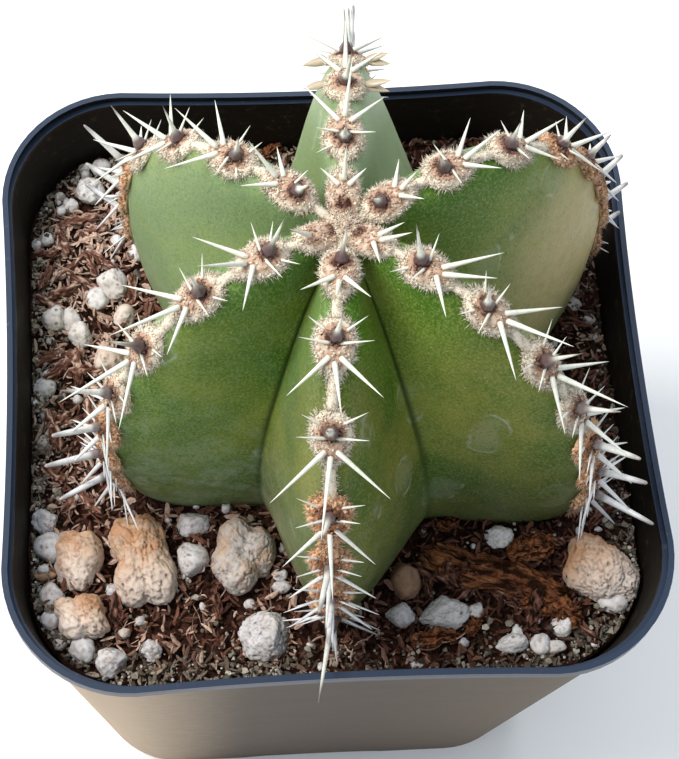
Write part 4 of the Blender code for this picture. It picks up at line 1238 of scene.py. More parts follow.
def gritty(x, y):
    """How gritty the mix is: along the left and front walls and in the right corner."""
    wall = held(1 - room_to_wall(x, y) / 0.007)
    wall = wall * np.where((x < 0.0) | (y < -0.02), 1.0, 0.45)
    return wall * (1 - 0.7 * np.exp(-((x - 0.013) / 0.013) ** 2))


def lit_and_dry(x, y):
    """How pale the mix is made by the left wall: partly a drier mix, partly painted light on the strip that
    the lamp lights.
    """
    return held((-x - 0.022) / 0.010) * held((y + 0.024) / 0.008)


# Chips, grains and crumbs
class AddLitter(Operator):
    """Strew coir chips, grains and perlite crumbs over the potting mix"""

    bl_idname = "cactus.add_litter"
    bl_label = "Chips and grains"

    def execute(self, context):
        settings = context.scene.cactus_soil
        coir = litter_material("coir", settings.dark, settings.brown, settings.pale)
        rng = np.random.default_rng(SEED)
        lay_chips(settings, coir, rng)
        lay_clumps(settings.clumps, coir, rng)
        lay_strands(settings.strands, coir, rng)
        lay_grains(fewer(settings.grains), rng)
        lay_crumbs(settings.crumbs, rng)
        return {"FINISHED"}


def lay_chips(settings, coir, rng):
    """Curled slivers of coir, small ones first and larger flakes among them."""
    full = fewer(settings.chips)
    for name, count, length, width, curl in (
            ("coir_chips", full, CHIP_LENGTH, CHIP_WIDTH, 0.9),
            ("coir_flakes", full // 3, FLAKE_LENGTH, FLAKE_WIDTH, 0.6)):
        piece = ball(name, 4, 4)
        points = points_of(piece)
        points[:, :2] += (curl * (points[:, 2] ** 2 - 0.4))[:, None] * [1.0, 1.5]
        set_points(piece, points)
        spots = open_spots(rng, count, lambda x, y: rng.uniform(size=len(x)) > 0.25 * gritty(x, y))
        strew(piece, spots, rng, length, width)
        settle(piece, coir, "potting_mix", angle=25)


def strew(piece, spots, rng, length, width):
    """Copy a sliver to each spot, turned at random and lying nearly flat."""
    count = len(spots)
    x, y = spots.T
    lengths = length[0] + (length[1] - length[0]) * rng.beta(1.4, 2.6, count)
    widths = rng.uniform(*width, count)
    yaw = rng.uniform(0, 2 * np.pi, count)
    pitch = rng.normal(0, 0.42, count)
    ways = np.stack([np.cos(yaw) * np.cos(pitch), np.sin(yaw) * np.cos(pitch), np.sin(pitch)], -1)
    girths = np.stack([widths, widths * rng.uniform(0.25, 0.60, count)], -1)
    frames = frames_along(ways, girths, lengths, rng.normal(0, 0.6, count))
    rise = rng.uniform(-0.0007, 0.0010, count)
    places = np.stack([x, y, bed_heights(x, y) + rise], -1)
    # Chips by the left wall are paler: partly drier, partly painted light
    paler = (0.3 + 0.3 * held(y / 0.010)) * lit_and_dry(x, y)
    # Painted light and shade: chips that lie higher are paler and chips sunk into the bed darker
    tint = held(rng.beta(0.6, 1.1, count) + 300 * rise + paler)
    # Painted shadow: chips on the right, where the stem's shadow falls, are darkened, the front ones most
    tint *= 1 - np.where(y < 0, 0.5, 0.15) * held(x / 0.02)
    heap = Heap()
    heap.add(piece, moved(piece, places, frames), tint=held(tint),
             grey=held(1.6 * gritty(x, y) - 0.3 + rng.normal(0, 0.15, count)))
    heap.make(piece, in_pot=True)


def roomy_spots(rng, count, share):
    """Random spots away from the stones, the stem and the wall."""
    return open_spots(rng, count, lambda x, y: stem_room(x, y) > 0.003, 0.004, share)


def lay_clumps(count, coir, rng):
    """Torn lumps of coir husk with fibrous faces."""
    piece = ball("coir_clumps", 22, 20)
    model = points_of(piece)
    heap = Heap()
    for k, (x, y) in enumerate([*roomy_spots(rng, count, 1.15), *CLUMP_SPOTS]):
        length, width, thick = rng.uniform(HUSK_LEAST, HUSK_MOST)
        x, y = kept_inside(x, y, length)
        body, fibres = husk_shape(model, 2.3 * k)
        body *= [width, thick, length]
        yaw, pitch = rng.uniform(0, 2 * np.pi), rng.normal(0, 0.12)
        turn = np.array(Matrix.Rotation(yaw, 3, "Z") @ Matrix.Rotation(pitch, 3, "X")
                        @ Matrix.Rotation(math.pi / 2, 3, "X"))
        turn = turn @ np.array(Matrix.Rotation(math.pi / 2, 3, "Z"))
        lift = float(bed_heights([x], [y])[0]) + thick * 0.2
        # Painted light and shade: a clump's raised fibres are paler and its sunken ones darker; by the left
        # wall clumps are paler still
        tint = 0.9 * fibres - 0.12 + 0.25 * lit_and_dry(x, y)
        heap.add(piece, (body @ turn.T + [x, y, lift])[None], tint=tint[None], grey=[0.0])
    heap.make(piece, in_pot=True)
    settle(piece, coir, "potting_mix")


def lay_strands(count, coir, rng):
    """Long bent fibres of coir."""
    piece = ball("coir_strands", 4, 14)
    model = points_of(piece)
    along = model[:, 2]
    blunt = ring_size(along)
    heap = Heap()
    for x, y in roomy_spots(rng, count, 1.1):
        half, girth = rng.uniform(*STRAND_LENGTH), rng.uniform(*STRAND_GIRTH)
        yaw, bend, wave = rng.uniform(0, 2 * np.pi), rng.normal(0, 0.35), rng.uniform(0, 6)
        heading = yaw + bend * along
        path = np.stack([x + half * along * np.cos(heading), y + half * along * np.sin(heading)], -1)
        thick = girth * np.minimum(1, blunt * 3) / blunt
        side = np.stack([-np.sin(heading), np.cos(heading)], -1) * (model[:, 0] * thick)[:, None]
        height = bed_heights(*np.clip(path, -0.044, 0.044).T) + 0.0006 + 0.0004 * np.sin(3 * along + wave)
        body = np.column_stack([path + side, height + model[:, 1] * thick])
        heap.add(piece, body[None], tint=[rng.uniform(0.5, 1.0)], grey=[rng.uniform(0, 0.3)])
    heap.make(piece, in_pot=True)
    settle(piece, coir, "potting_mix")


def lay_grains(count, rng):
    """Small mineral grains, mostly along the wall."""
    piece = ball("mix_grains", 3, 3)
    spots = open_spots(rng, count, lambda x, y: rng.uniform(size=len(x)) < 0.06 + gritty(x, y))
    x, y = spots.T
    size = rng.gamma(2.2, 0.00008, count) + 0.00011
    ways = unit(rng.normal(size=(count, 3)))
    widths = size[:, None] * rng.uniform(0.7, 1.3, (count, 2))
    frames = frames_along(ways, widths, size, rng.uniform(0, 6, count))
    places = np.stack([x, y, bed_heights(x, y) + size * 0.4 + rng.uniform(0, 0.0006, count)], -1)
    points = moved(piece, places, frames)
    points += rng.uniform(-0.2, 0.2, points.shape) * size[:, None, None]
    heap = Heap()
    heap.add(piece, points, tint=rng.uniform(0, 1, count))
    heap.make(piece, in_pot=True)
    settle(piece, litter_material("grit", *GRIT_TONES, 0.85), "potting_mix", angle=30)


def lay_crumbs(count, rng):
    """White perlite crumbs of one to two millimetres."""
    piece = lump("perlite_crumbs", 2)
    spots = open_spots(rng, count, lambda x, y: rng.uniform(size=len(x)) > 14 * x, 0.0022)
    x, y = spots.T
    size = 0.00035 + 0.0007 * rng.beta(1.2, 3.0, count)
    model = points_of(piece)
    places = np.stack([x, y, bed_heights(x, y) + size * 0.5 + 0.0003], -1)
    points = np.empty((count, len(model), 3))
    for k in range(count):
        lumps = 1 + 0.45 * rough(model, 0.8, 2, 3.7 * k)
        stretch = rng.uniform(0.75, 1.3, 3)
        points[k] = places[k] + model * stretch * lumps[:, None] * size[k]
    heap = Heap()
    heap.add(piece, points, tint=rng.uniform(0.55, 1, count))
    heap.make(piece)
    settle(piece, litter_material("perlite_crumb", *CRUMB_TONES, 0.85), "perlite_white")


# Stones and bark
class AddStones(Operator):
    """Lay the pumice, perlite and pebbles on the potting mix"""

    bl_idname = "cactus.add_stones"
    bl_label = "Stones"

    def execute(self, context):
        settings = context.scene.cactus_stones
        finishes = {
            "pumice_tan": stone_material("pumice_tan", settings.tan, settings.rust, settings.grey),
            "pumice_grey": stone_material("pumice_grey", settings.grey, settings.tan, settings.grey),
            "perlite_white": stone_material("perlite_white", settings.white, PERLITE_STAIN, settings.grey),
        }
        for index, stone in enumerate(STONES):
            add_stone(index, stone, finishes)
        add_loose(finishes)
        return {"FINISHED"}


def add_stone(index, stone, finishes):
    """Shape one of the larger stones and set it in its place."""
    name, _, _, width, length, height, turn, finish = stone
    size = max(width, length)
    detail = 6 if name in ("pumice_orange", "pumice_lobed", "pumice_pink") else 5 if size > 0.0065 else 4
    piece = lump("stone_" + name, detail if FULL else min(detail, 5))
    style = STONE_STYLES.get(name, PERLITE_STYLE if finish == "perlite_white" else PEBBLE_STYLE)
    points, hollow = stone_shape(unit(points_of(piece)), index, *style)
    points *= np.array([width, length, height]) / 2 * STONE_SWELL.get(name, 1.0)
    place = Matrix.Translation(stone_centre(stone)) @ Matrix.Rotation(math.radians(turn), 4, "Z")
    set_points(piece, points)
    piece.data.transform(place)
    store(piece, "rise", points[:, 2] / height + 0.5)
    store(piece, "hollow", np.maximum(hollow, STONE_SHADE.get(name, 0.0)))
    # Painted light on stones to the right and at the back; a stone with a worn end gets that instead
    worn = np.full(len(points), cleanness(stone[1], stone[2]))
    if name in WORN:
        worn = held(WORN[name] - 1.7 * points[:, 1] / length)
    store(piece, "clean", worn)
    settle(piece, finishes[finish], finish, name)


def add_loose(finishes):
    """The small stones that lie loose on the mix, one piece for each finish."""
    for finish, material in finishes.items():
        piece = lump("loose_" + finish, 3)
        ways = unit(points_of(piece))
        heap = Heap()
        for index, ((x, y, width, length), kind) in enumerate(LOOSE_STONES):
            if kind == finish:
                style = LOOSE_STYLE if kind == "perlite_white" else PEBBLE_STYLE
                height = 0.75 * min(width, length)
                points, hollow = stone_shape(ways, 30 + index, *style)
                points *= np.array([width, length, height]) / 2
                x, y = kept_inside(x, y, max(width, length) / 2)
                lift = soil_heights([x], [y])[0] + height * (0.5 - STONE_SUNK)
                # Painted light on the stones to the right and at the back, and painted shade in their creases
                # and pits
                heap.add(piece, (points + [x, y, lift])[None], rise=(points[:, 2] / height + 0.5)[None],
                         hollow=hollow[None], clean=[cleanness(x, y)])
        heap.make(piece)
        settle(piece, material, finish)


def cleanness(x, y):
    """Painted light: stones on the right and at the back are made paler than those in the front left corner.
    """
    return float(held(max(x / 0.028, y / 0.010)))


def plan_turn(degrees):
    """A turn about the vertical."""
    a = math.radians(degrees)
    return np.array([(math.cos(a), -math.sin(a), 0), (math.sin(a), math.cos(a), 0), (0, 0, 1)])


def kept_inside(x, y, reach):
    """A spot moved in from the pot's wall until a stone of that reach fits."""
    while room_to_wall(x, y) < reach + WALL_BOW:
        x, y = x * 0.99, y * 0.99
    return x, y


def stone_shape(ways, index, lobes, facets, nodules, lumps, pits):
    """A stone of about unit size: rounded lobes, broken facets, nodules, lumps and pits."""
    spread = random.Random(SEED + 7 * index)
    shift = Vector((index * 7.3, 0.0, 3.1))
    if lobes:
        reach = np.array([lobe_radius(ways, np.array(centre), size) for centre, size in lobes])
        reach = np.concatenate([reach, np.full((1, len(ways)), STONE_CORE)])
        radius = np.log(np.exp(LOBE_EDGE * reach).sum(0)) / LOBE_EDGE
    else:
        radius = np.full(len(ways), 0.96)
    radius += lumps * np.array([noise.noise(Vector(way * 1.9) + shift) for way in ways])
    for _ in range(facets):
        normal = unit(np.array([spread.gauss(0, 1), spread.gauss(0, 1), abs(spread.gauss(0, 0.7))]))
        plane = spread.uniform(0.62, 0.80) / np.maximum(ways @ normal, 0.05)
        radius = -np.log(np.exp(-FACET_EDGE * radius) + np.exp(-FACET_EDGE * plane)) / FACET_EDGE
    if nodules:
        far = np.array([noise.voronoi(Vector(way * 2.6) + shift)[0][0] for way in ways])
        radius += nodules * (0.42 - far)
    radius += 0.050 * rough(ways, 0.30, 5, index * 1.3) + 0.020 * rough(ways, 0.10, 3, index * 2.1)
    crease = held(1 - 9 * np.abs(rough(ways, 0.45, 3, index * 3.9)))
    holes = np.array([noise.voronoi(Vector(way * 6.0) + shift)[0][0] for way in ways])
    pit = held(1 - holes / 0.36) ** 0.7
    radius -= 0.050 * crease + pits * pit
    # How much painted shade each crease and pit gets
    hollow = held(0.8 * crease + pit * min(1, pits / 0.05))
    points = ways * radius[:, None]
    low, high = points.min(0), points.max(0)
    return (points - (low + high) / 2) / ((high - low) / 2), hollow


def lobe_radius(ways, centre, size):
    """How far a ball off the middle reaches along each way."""
    ahead = ways @ centre
    inside = ahead ** 2 - centre @ centre + size ** 2
    return np.where(inside > 0, ahead + np.sqrt(np.maximum(inside, 0)), 0)


class AddBark(Operator):
    """Lay the bark chips on the potting mix"""

    bl_idname = "cactus.add_bark"
    bl_label = "Bark chips"

    def execute(self, context):
        material = bark_material(context.scene.cactus_stones)
        for index, (name, *row) in enumerate(CHIPS):
            add_bark("chip_" + name, [row], index, 90, BARK_SWELL, material, name)
        add_bark("bark_bits", BARK_BITS, 5, 40, 1.0, material)
        return {"FINISHED"}


def add_bark(name, rows, seed, rings, swell, material, *nodes):
    """One piece of bark chips, each a row of place, length, width, thickness and turn."""
    piece = ball(name, 40, rings)
    model = points_of(piece)
    heap = Heap()
    for *sizes, turn in rows:
        x, y, length, width, thickness = (size / TENTHS for size in sizes)
        body, fibres = husk_shape(model, seed * 4.0)
        seed += 1
        body = body[:, [2, 0, 1]] * np.array([length, width, thickness * 1.25]) / 2 * [swell, swell, 1.0]
        rest = soil_heights([x], [y])[0] + thickness * (0.5 - CHIP_SUNK)
        heap.add(piece, (body @ plan_turn(turn).T + [x, y, rest])[None], strand=fibres[None],
                 course=(body[:, 0] + 0.1 * seed)[None], breadth=(body[:, 1] + body[:, 2])[None])
    heap.make(piece, in_pot=True)
    settle(piece, material, "bark", *nodes)


def husk_shape(model, seed):
    """A torn slab of husk or bark along Z, about unit size, and how far its fibres stand out, 0 to 1."""
    along = model[:, 2]
    girth = ring_size(along)
    side, up = model[:, 0] / girth, model[:, 1] / girth
    side, up = np.sign(side) * np.abs(side) ** 0.7, np.sign(up) * np.abs(up) ** 0.8
    fibres = rough(np.stack([side * 3.4, up * 3.4, along * 1.1], -1), 0.50, 4, seed)
    torn = rough(np.stack([side, up, along * 3.0], -1), 0.7, 3, seed + 9.0)
    cracks = rough(np.stack([side * 2, up * 2, along * 1.2], -1), 0.8, 2, seed + 5.0)
    cracks = held(1 - 7 * np.abs(cracks))
    blunt = np.minimum(1, (1 - np.abs(along)) / 0.14) ** 0.5
    girth = (0.80 + 0.20 * np.cos(along * np.pi / 2)) * blunt
    girth = girth * (1 + 0.34 * fibres + 0.24 * torn - 0.22 * cracks)
    drift = 0.30 * np.array([noise.noise(Vector((a * 1.6, seed, 0))) for a in along])
    reach = along * (1 + 0.22 * fibres * np.abs(along) ** 3)
    return (np.stack([side * girth + drift, up * girth * (1 + 0.5 * torn), reach], -1),
            held(0.5 + 0.9 * fibres - 0.5 * cracks))


# Stem
class AddStem(Operator):
    """Grow the ribbed stem"""

    bl_idname = "cactus.add_stem"
    bl_label = "Stem"

    def execute(self, context):
        settings = context.scene.cactus_stem
        segments, rings = (240, 130) if FULL else (144, 80)
        stem = ball("stem", segments, rings)
        points = points_of(stem)
        fall = np.arccos(np.clip(points[:, 2], -1, 1)) / np.pi
        place = np.interp(fall, [0, FOOT_FALL, 1], [0, FOOT_PLACE, len(STATIONS) - 1])
        turn = np.arctan2(points[:, 1], points[:, 0]) / (2 * np.pi) * len(RIBS)
        nearest = np.round(turn)
        local = 2 * (turn - nearest)
        gap = np.abs(local)
        across = np.sign(local) * (0.5 * gap ** 1.2 + 0.25 * (1 - np.cos(np.pi * gap)))
        rib = nearest.astype(int) % len(RIBS)
        skin = skin_points(rib, place, across)
        inner = (place > 0.3) & (place < 14.5)
        dents = settings.relief * rough(skin, DENT_SIZE, 3) * inner * np.minimum(1, 5 * (1 - np.abs(across)))
        normals = skin_normals(rib, np.clip(place, 0.1, 14.9), across)
        set_points(stem, skin + normals * dents[:, None])
        store(stem, "across", np.abs(across))
        store(stem, "down", place / SOIL_STATION)
        store(stem, "pale", PALE[rib, (across > 0).astype(int)] * np.minimum(1, (1 - np.abs(across)) * 6))
        settle(stem, skin_material(settings), "stem_skin", "cactus_stem", angle=60)
        return {"FINISHED"}


# Wool
class AddWool(Operator):
    """Felt the areoles and the links between them"""

    bl_idname = "cactus.add_wool"
    bl_label = "Wool"

    def execute(self, context):
        settings = context.scene.cactus_wool
        felt = wool_material(settings)
        rng = np.random.default_rng(SEED + 1)
        for name, rows in areole_groups():
            add_strip(name, rows, settings, felt, rng)
        return {"FINISHED"}


def areole_groups():
    """Names of the ribs, and last the crown, each with rows of a rib and its areoles' distances."""
    for rib, row in enumerate(RIBS):
        yield row[0], [(rib, [arc for arc in areole_arcs(rib) if arc > CROWN_ARC])]
    yield "crown", [(rib, [arc for arc in areole_arcs(rib) if arc <= CROWN_ARC]) for rib in range(len(RIBS))]


def add_strip(name, rows, settings, felt, rng):
    """One piece of wool: links and pads under a coat of tufts and hairs."""
    heap = Heap()
    tuft = ball("tuft", 3, 3)
    pad = ball("pad", 24, 14) if FULL else ball("pad", 20, 12)
    link = ball("link", 8, 90)
    piece = start("wool_" + name, bpy.ops.mesh.primitive_cone_add, vertices=3, radius1=1.0, radius2=0.0,
                  depth=1.0, location=(0, 0, 0.5))
    bpy.ops.object.transform_apply(location=True, rotation=False, scale=False)
    size, reach = settings.tuft_size, settings.hair_length
    for rib, arcs in rows:
        span = CROWN_SPAN if name == "crown" else (CROWN_ARC, last_arc(rib))
        lay_link(heap, link, rib, span)
        link_coat(heap, tuft, rib, span, 7, size * 0.8, (size * 0.6, size * 1.1), rng)
        link_coat(heap, piece, rib, span, 34, settings.hair_radius * 0.8, (reach * 0.3, reach * 0.65), rng)
        for arc in arcs:
            lay_pad(heap, pad, rib, arc)
            pad_tufts(heap, tuft, rib, arc, settings, rng)
            pad_hairs(heap, piece, rib, arc, settings, rng)
    if name == "crown":
        apex_tuft(heap, pad, tuft, piece, settings, rng)
    heap.make(piece)
    for model in (pad, link, tuft):
        bpy.data.objects.remove(model, do_unlink=True)
    settle(piece, felt, "areole_wool", "areoles_" + name)


def lay_link(heap, model, rib, span):
    """The narrow woolly band along the crest."""
    points = points_of(model)
    arc = span[0] + (span[1] - span[0]) * (0.5 - 0.5 * points[:, 2])
    place = place_at(rib, arc)
    girth = ring_size(points[:, 2])
    end = np.minimum(1, 6 * girth)
    side, up = points[:, 0] / girth * end, points[:, 1] / girth * end
    ages = wool_age(rib, arc)
    across = side * link_spread(place) * (1 + OLD_LINK * ages)
    skin = skin_points(rib, place, across)
    normal = skin_normals(rib, place, across)
    lumps = rough(skin, 0.0009, 2)
    rise = LINK_THICKNESS * (1 + OLD_LINK * ages) * np.maximum(up + 0.4 * lumps, -0.3)
    body = skin + normal * rise[:, None]
    heap.add(model, body[None], tint=held(-0.3 * lumps - 0.02)[None], age=ages[None])


def pad_surface(rib, arc, x, y, rise):
    """Points over a pad: x is sideways and y towards the apex, both in a unit disc."""
    place = place_at(rib, arc - y * PAD_HALF_LENGTH)
    wide = x * PAD_HALF_WIDTH * (1 - PAD_NARROWING * held(0.2 - y))
    spread, run = girth_table(rib, arc)
    across = np.interp(-wide, run, spread)
    flat = skin_points(rib, place, 0.0) + areole_frame(rib, arc)[3] * wide[:, None]
    base = skin_points(rib, place, across) * PAD_HUG + flat * (1 - PAD_HUG)
    up = unit(skin_normals(rib, place, across) * PAD_HUG + skin_normals(rib, place, 0.0) * (1 - PAD_HUG))
    return base + up * rise[:, None]


def lay_pad(heap, model, rib, arc):
    """The felted body of an areole's pad."""
    points = points_of(model)
    x, y, z = points.T
    age = wool_age(rib, arc)
    lumps = rough(points * [1.0, 1.4, 1.0], 0.16 * (1 + 0.5 * age), 2, 40 * arc + rib)
    rise = np.where(z > 0, z * PAD_THICKNESS * 0.8 + 0.00020 * lumps * (z > 0.15), z * 0.0005)
    body = pad_surface(rib, arc, x * 0.93, y * 0.95, rise)
    tint = held(pad_tint(x, y, arc) - 0.30 * lumps)
    heap.add(model, body[None], tint=tint[None], age=[age])


def disc_spots(rng, count, power):
    """Random spots of a unit disc, more of them outwards for a lower power, and the dome's height there."""
    angle = rng.uniform(0, 2 * np.pi, count)
    radius = rng.uniform(0, 1, count) ** power
    return radius, radius * np.cos(angle), radius * np.sin(angle), np.sqrt(np.maximum(1 - radius ** 2, 0.0))


def pad_tufts(heap, model, rib, arc, settings, rng):
    """Curled crumbs of wool all over a pad."""
    count = fewer(settings.tufts)
    _, x, y, dome = disc_spots(rng, count, 0.55)
    age = wool_age(rib, arc)
    size = settings.tuft_size * rng.uniform(0.6, 1.25, count) * (1 + 0.7 * age)
    places = pad_surface(rib, arc, x * 0.96, y * 0.97, PAD_THICKNESS * 0.80 * dome + size * 0.25)
    frames = frames_along(rng.normal(size=(count, 3)), size, size * rng.uniform(0.8, 1.6, count))
    points = moved(model, places, frames)
    points += rng.uniform(-0.28, 0.28, points.shape) * size[:, None, None]
    ring = pad_tint(x, y, arc)
    speckled = ring * rng.choice([0.2, 1.0, 1.9], count, p=[0.42, 0.38, 0.20])
    tint = np.where(ring > 0.6, ring - 0.12, speckled + 0.5 * age * rng.uniform(-0.3, 1, count))
    heap.add(model, points, tint=held(tint), age=held(age + rng.normal(0, 0.10, count)))


def pad_hairs(heap, model, rib, arc, settings, rng):
    """A coat of short hairs in small tufts, longer and leaning outwards at the pad's rim."""
    count = fewer(settings.hairs, 3)
    radius, x, y, dome = disc_spots(rng, count, 0.30)
    tufts = rough(np.stack([x, y * 1.4, 0 * x], -1), 0.17, 1, 40 * arc + rib)
    roots = pad_surface(rib, arc, x * 0.95, y * 0.97, PAD_THICKNESS * 0.74 * dome - 0.0001)
    _, outward, towards, sideways = areole_frame(rib, arc)
    lean = (radius ** 3)[:, None]
    ways = outward * (1.15 - lean) + (sideways * x[:, None] + towards * y[:, None]) * lean * 1.6
    ways = unit(ways + rng.normal(0, 0.34, (count, 3)))
    age = wool_age(rib, arc)
    reach = (0.45 + 0.55 * lean[:, 0]) * (1 + 0.2 * age) * (1 + 0.6 * np.clip(tufts, -1, 1))
    lengths = settings.hair_length * rng.uniform(0.55, 1.0, count) * reach
    frames = frames_along(ways, settings.hair_radius * rng.uniform(0.7, 1.25, count), lengths)
    tint = held(pad_tint(x, y, arc) - 0.45 * tufts + rng.normal(0, 0.08 + 0.2 * age, count))
    heap.add(model, moved(model, roots, frames), tint=tint,
             age=held(age + rng.normal(0, 0.10, count)))


def link_coat(heap, model, rib, span, each, girth, lengths, rng):
    """Cover a link with hairs or tufts, so many to a millimetre."""
    count = int((span[1] - span[0]) / 0.001 * each / (1 if FULL else 2))
    arc = rng.uniform(*span, count)
    place = place_at(rib, arc)
    side = rng.uniform(-1, 1, count)
    ages = wool_age(rib, arc)
    across = side * link_spread(place) * rng.uniform(0.85, 1.25, count) * (1 + OLD_LINK * ages)
    normal = skin_normals(rib, place, across)
    rise = LINK_THICKNESS * 0.75 * np.sqrt(1 - side ** 2 * 0.9) * (1 + OLD_LINK * ages)
    roots = skin_points(rib, place, across) + normal * rise[:, None]
    step = unit(skin_points(rib, place, across + 0.03) - skin_points(rib, place, across - 0.03))
    ways = unit(normal * 0.7 + step * side[:, None] * 0.9 + rng.normal(0, 0.40, (count, 3)))
    frames = frames_along(ways, girth * rng.uniform(0.7, 1.25, count) * (1 + ages),
                          rng.uniform(*lengths, count) * (1 + 0.8 * ages))
    tint = rng.choice([0.0, 0.07, 0.18], count, p=[0.70, 0.24, 0.06])
    tint = tint + 0.5 * ages * rng.uniform(-0.4, 1, count)
    heap.add(model, moved(model, roots, frames), age=ages, tint=held(tint))


def apex_tuft(heap, pad, tuft, hair, settings, rng):
    """The cushion of wool over the sunken apex."""
    middle, size = from_axis(0.0, 0.0, CUSHION_HEIGHT), CUSHION_SIZE
    points = points_of(pad)
    heap.add(pad, (middle + points * size)[None], tint=np.full((1, len(points)), 0.25), age=[0.1])
    for model, count, girth, length in (
            (tuft, CUSHION_TUFTS, settings.tuft_size, settings.tuft_size),
            (hair, CUSHION_HAIRS, settings.hair_radius, settings.hair_length * 0.7)):
        count = fewer(count)
        ways = unit(rng.normal(size=(count, 3)) + [0, 0, 0.9])
        frames = frames_along(unit(ways + rng.normal(0, 0.35, (count, 3))), girth,
                              length * rng.uniform(0.7, 1.2, count))
        heap.add(model, moved(model, middle + ways * size * 0.97, frames),
                 tint=rng.choice([0.04, 0.35, 0.85], count, p=[0.58, 0.27, 0.15]), age=np.full(count, 0.1))


def link_spread(place):
    """Half the link's width, in the skin's across units."""
    radius = spline(STATIONS, place)[..., 0]
    rounding = CREST_ROUNDING * np.tanh(0.5 * radius / CREST_ROUNDING)
    return np.minimum(LINK_HALF_WIDTH / (3 * np.maximum(rounding, 1e-4)), 0.3)


def wool_age(rib, arc):
    """How old the wool is, from 0 near the apex to 1 by the soil."""
    return held((arc - RIBS[rib][5]) / RUST_LENGTH)


def pad_tint(x, y, arc):
    """Cream at a pad's rim, tan inside it, and dark round the spines' roots."""
    inside = 0.03 + 0.30 * held((0.84 - np.hypot(x, y)) / 0.22)
    size = min(1.0, 0.45 + (arc / YOUNG_ARC) ** 2)
    ring = held((1.04 - np.hypot(x / (0.55 * size), (y - 0.28) / (0.39 * size))) / 0.22)
    for spot_x, spot_y in ROOT_SPOTS:
        spot = (0.17 - np.hypot(x - spot_x, (y - spot_y) * 1.3)) / 0.05
        ring = np.maximum(ring, 0.85 * held(spot))
    return np.maximum(inside, ring * 0.95)


# Spines
class AddSpines(Operator):
    """Set the spines into the areoles"""

    bl_idname = "cactus.add_spines"
    bl_label = "Spines"

    def execute(self, context):
        horn = spine_material(context.scene.cactus_spines)
        for name, rows in areole_groups():
            seed, grown = (5, CROWN_SPINES) if name == "crown" else (10 * rows[0][0], 1.0)
            rng = random.Random(SEED + seed)
            add_spines(name, [spine for rib, arcs in rows for arc in arcs
                              for spine in areole_spines(rib, arc, rng, grown)], horn)
        return {"FINISHED"}


def add_spines(name, spines, horn):
    """One piece of spines, each a row of root, way, length, root radius, kind and age."""
    piece = ball("spines_" + name, 6, 9)
    x, y, z = points_of(piece).T
    along = 0.5 + 0.5 * z
    girth = ring_size(z)
    heap = Heap()
    for root, way, length, radius, kind, age in spines:
        swell = spine_swell(along, kind, old_spine(age))
        girths = np.array([[radius, HUSK_THICKNESS if kind == "husk" else radius]])
        frame = frames_along(way[None], girths, length)[0]
        local = np.stack([x / girth * swell, y / girth * swell, along], -1)
        local[np.isclose(girth, ring_size(1)), :2] = 0.0
        heap.add(piece, (root + local @ frame.T)[None], along=along[None], age=[age],
                 central=[1 - 0.25 * old_spine(age) if kind == "upper_central" else 0.0],
                 dusk=[(0.5 + 0.5 * math.sin(4e4 * length)) * (1 - old_spine(age))])
    heap.make(piece)
    settle(piece, horn, "spine", "areoles_" + name)


def old_spine(age):
    """How stout and blunt a spine of an age has grown, 0 to 1."""
    return min(max((age - 0.45) / 0.20, 0.0), 1.0)


def spine_swell(along, kind, old):
    """A spine's girth along its length, against its root radius."""
    if kind == "husk":
        return np.sin(np.pi * along ** 0.75)
    if kind != "upper_central":
        return held(1 - along) ** (0.80 - 0.25 * old)
    shaft = (0.33 + 0.13 * old) * held((1 - along) / 0.75) ** (0.8 - 0.58 * old)
    return shaft + (0.72 - 0.50 * old) * np.exp(-((along - 0.07) / 0.11) ** 2)


def is_clear(point):
    """True where a spine's point keeps clear of the pot, the soil and the stones."""
    over_rim = point[2] > POT_HEIGHT + SPINE_CLEARANCE
    if not over_rim and room_to_wall(*point) < WALL_BOW + SPINE_CLEARANCE:
        return False
    if point[2] < soil_heights([point[0]], [point[1]])[0] + 2 * SPINE_CLEARANCE:
        return False
    for centre, turn, semi in STONE_ROOM:
        away = turn @ (point - centre)
        if np.sum((away / semi) ** 2) < 1:
            return False
    return True


def stone_room(stone):
    """Centre, turn and half sizes of the room that spines leave to a stone."""
    return stone_centre(stone), plan_turn(-stone[6]), np.array(stone[3:6]) / 2 + 2 * SPINE_CLEARANCE


STONE_ROOM = [stone_room(stone) for stone in STONES]


def in_sector(rib, point):
    """True where a point lies between the planes of a rib's two valleys."""
    height = point[2] - SOIL_TOP
    flat = np.array([point[0] - STEM_X - STEM_LEAN * height, point[1] - STEM_Y])
    for side in (-1, 1):
        other = (rib + side) % len(RIBS)
        gap = (RIB_DEGREES[other] - RIB_DEGREES[rib]) * side % 360
        angle = math.radians(RIB_DEGREES[rib] + side * gap / 2)
        if side * (flat[0] * math.sin(angle) - flat[1] * math.cos(angle)) < SPINE_CLEARANCE:
            return False
    return True


def settle_spine(rib, root, way, length):
    """Tilt a spine up or shorten it until it is clear of all but its own rib."""
    for _ in range(24):
        probes = [root + way * length * part for part in (0.4, 0.6, 0.8, 1.0)]
        if not in_sector(rib, probes[-1]):
            length *= 0.9
        elif not all(is_clear(probe) for probe in probes):
            way = unit(way + np.array([0, 0, 0.14]))
        else:
            break
    return way, length


